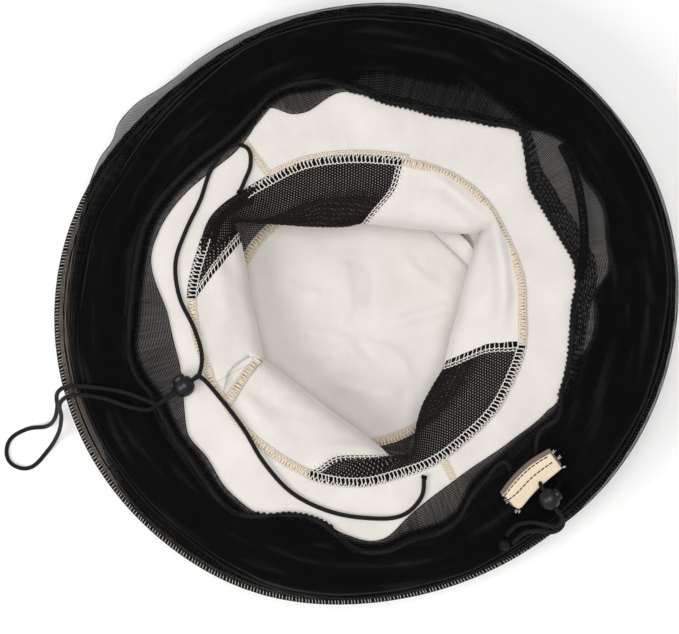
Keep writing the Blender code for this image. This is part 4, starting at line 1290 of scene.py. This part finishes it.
def anchors():
    """Bar tacks that sew the chin cord's two ends to the crown's base seam: thread wound over the cord."""
    ends = [("chin_anchor_upper", CHIN_ROUTE_IN[0], CHIN_ROUTE_IN[1]),
            ("chin_anchor_lower", chin_end(), CHIN_ROUTE_OUT[-1])]
    for node, end, beyond in ends:
        end = Vector(end)
        along = (Vector(beyond) - end).normalized()
        across = along.cross(Vector((0, 0, 1))).normalized()
        wraps = []
        for n in range(5):
            centre = end + along * (0.45 * n - 0.2)
            turn = np.linspace(-0.35, math.pi + 0.35, 11)
            slant = np.linspace(-0.2, 0.2, 11)
            wraps.append([tuple(centre + across * (1.5 * math.cos(t)) + along * lean
                                + Vector((0, 0, 1.6 * math.sin(t) - 0.3))) for t, lean in zip(turn, slant)])
        piece(node + "_tack", *tubes(wraps, 0.26, up=tuple(along)), BLACK_THREAD, "cord_black",
              replaces=(node,))


def tab():
    """The folded cotton tab that anchors the drawcord: two curved plies, stitched and raw at the ends; the
    lower ply is painted dark brown as the shade under the upper one.
    """
    inner_side = [(78, -109), (84, -101), (92, -93), (99, -88), (106, -84)]
    outer_side = [(84, -116), (88, -117), (95, -109), (101, -103), (113, -93)]
    columns = 15
    near, far = (raised(through(side, 10), 0.0)[:, None] for side in (inner_side, outer_side))
    share = np.linspace(0, 1, columns)
    flat = near * (1 - share[:, None]) + far * share[:, None]
    x, y = flat[..., 0], flat[..., 1]
    # The lower ply is painted shade: dark brown, and shifted out from under the upper ply so a shaded rim
    # shows round it
    plies = [("tab_lower_ply", 65.0, 0.0, (-1.2, 1.6, 0.0), TAB_PAINTED_SHADE, ("veil_tab",)),
             ("tab_upper_ply", 66.3, -0.06, (0.0, 0.0, 0.0), TAB_COTTON, ())]
    for n, (name, height, grow, shift, material, nodes) in enumerate(plies):
        ply = flat + (flat - flat.mean(axis=(0, 1))) * grow + np.array(shift)
        ply[..., 2] = height + 0.9 * np.sin(np.pi * share) + 0.35 * ripple(x / 9, y / 9, 90.0 + n, 2)
        solidify(grid(name, ply, material, "tab_cotton", replaces=nodes), 0.8)
    for name, at in (("tab_stitch_inner", 0.09), ("tab_stitch_outer", 0.42)):
        line = ply[:, int(at * columns)] + np.array([0, 0, 0.55])
        path, _ = resample(line, 0.4)
        step = 6
        bow = np.array([[0, 0, 1]]) * (np.sin(np.linspace(0, np.pi, step)) * 0.3 - 0.1)[:, None]
        dashes = [path[start:start + step] + bow for start in range(0, len(path) - step, step + 1)]
        piece(name, *tubes(dashes, 0.32), BLACK_THREAD, "thread_dark")

    ends = [(78.5, -108.5), (80.5, -112), (85.5, -117.5), (87.5, -118), (107, -84.5), (110, -87.5),
            (112.8, -92.5)]
    frays = []
    for n, (x, y) in enumerate(ends * 3):
        lean = 3.0 * noise.noise(Vector((n * 1.7, 3.3, 0.0)))
        reach = 1.6 + 1.6 * abs(noise.noise(Vector((n * 2.3, 9.1, 0.0))))
        away = Vector((x - 96, y + 101, 0)).normalized()
        spin = Vector((-away.y, away.x, 0))
        root = Vector((x, y, 66.6)) - away * 0.8 + spin * lean * 0.6
        bends = [(0.0, 0.0, 0.0), (0.5, 0.1, 0.3), (1.0, 0.4, 0.1)]
        frays.append([tuple(root + away * reach * far + spin * lean * aside + Vector((0, 0, rise)))
                      for far, aside, rise in bends])
    piece("tab_frays", *tubes(frays, 0.13), WHITE_THREAD, "tab_cotton")


# ---------------------------------------------------------------- what the frame keeps, floor and lights

def finish_frame():
    """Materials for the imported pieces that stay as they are."""
    for name, material in (("hoop_wire", STEEL), ("hoop_sleeve", STEEL), ("drawcord_knot", CORD_KNOT)):
        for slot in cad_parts[name].material_slots:
            slot.material = material


def stage():
    """A pale paper floor, an even white surround, and two soft lamps above."""
    reach, z = 3000.0 * MM, -0.4 * MM
    mesh = bpy.data.meshes.new("floor")
    corners = [(-reach, -reach, z), (reach, -reach, z), (reach, reach, z), (-reach, reach, z)]
    mesh.from_pydata(corners, [], [(0, 1, 2, 3)])
    mesh.materials.append(paper("pale_paper"))
    made = bpy.data.objects.new("floor", mesh)
    bpy.context.scene.collection.objects.link(made)

    world = bpy.data.worlds.new("studio")
    world.use_nodes = True
    background = world.node_tree.nodes["Background"]
    background.inputs["Color"].default_value = (1.0, 1.0, 1.0, 1.0)
    background.inputs["Strength"].default_value = 0.40
    bpy.context.scene.world = world
    lights = [("key", (-560, -330, 800), 500, 4.2), ("overhead", (60, 60, 1500), 700, 12.6)]
    for name, place, size, power in lights:
        data = bpy.data.lights.new(name, "AREA")
        data.shape = "DISK"
        data.size = size * MM
        data.energy = power
        lamp = bpy.data.objects.new(name, data)
        lamp.location = Vector(place) * MM
        lamp.rotation_euler = Vector(place).to_track_quat("Z", "Y").to_euler()
        bpy.context.scene.collection.objects.link(lamp)
    bpy.context.scene.view_settings.view_transform = "Standard"


cord_lock("chin_lock", CHIN_LOCK)
chin_cord()
crown()
crown_overlocks()
brim()
binding()
net_piece = veil()
hem()
fold_edges()
side_seam()
drawcord()
crown_tucks()
anchors()
cord_lock("veil_lock", VEIL_LOCK)
tab()
finish_frame()
stage()
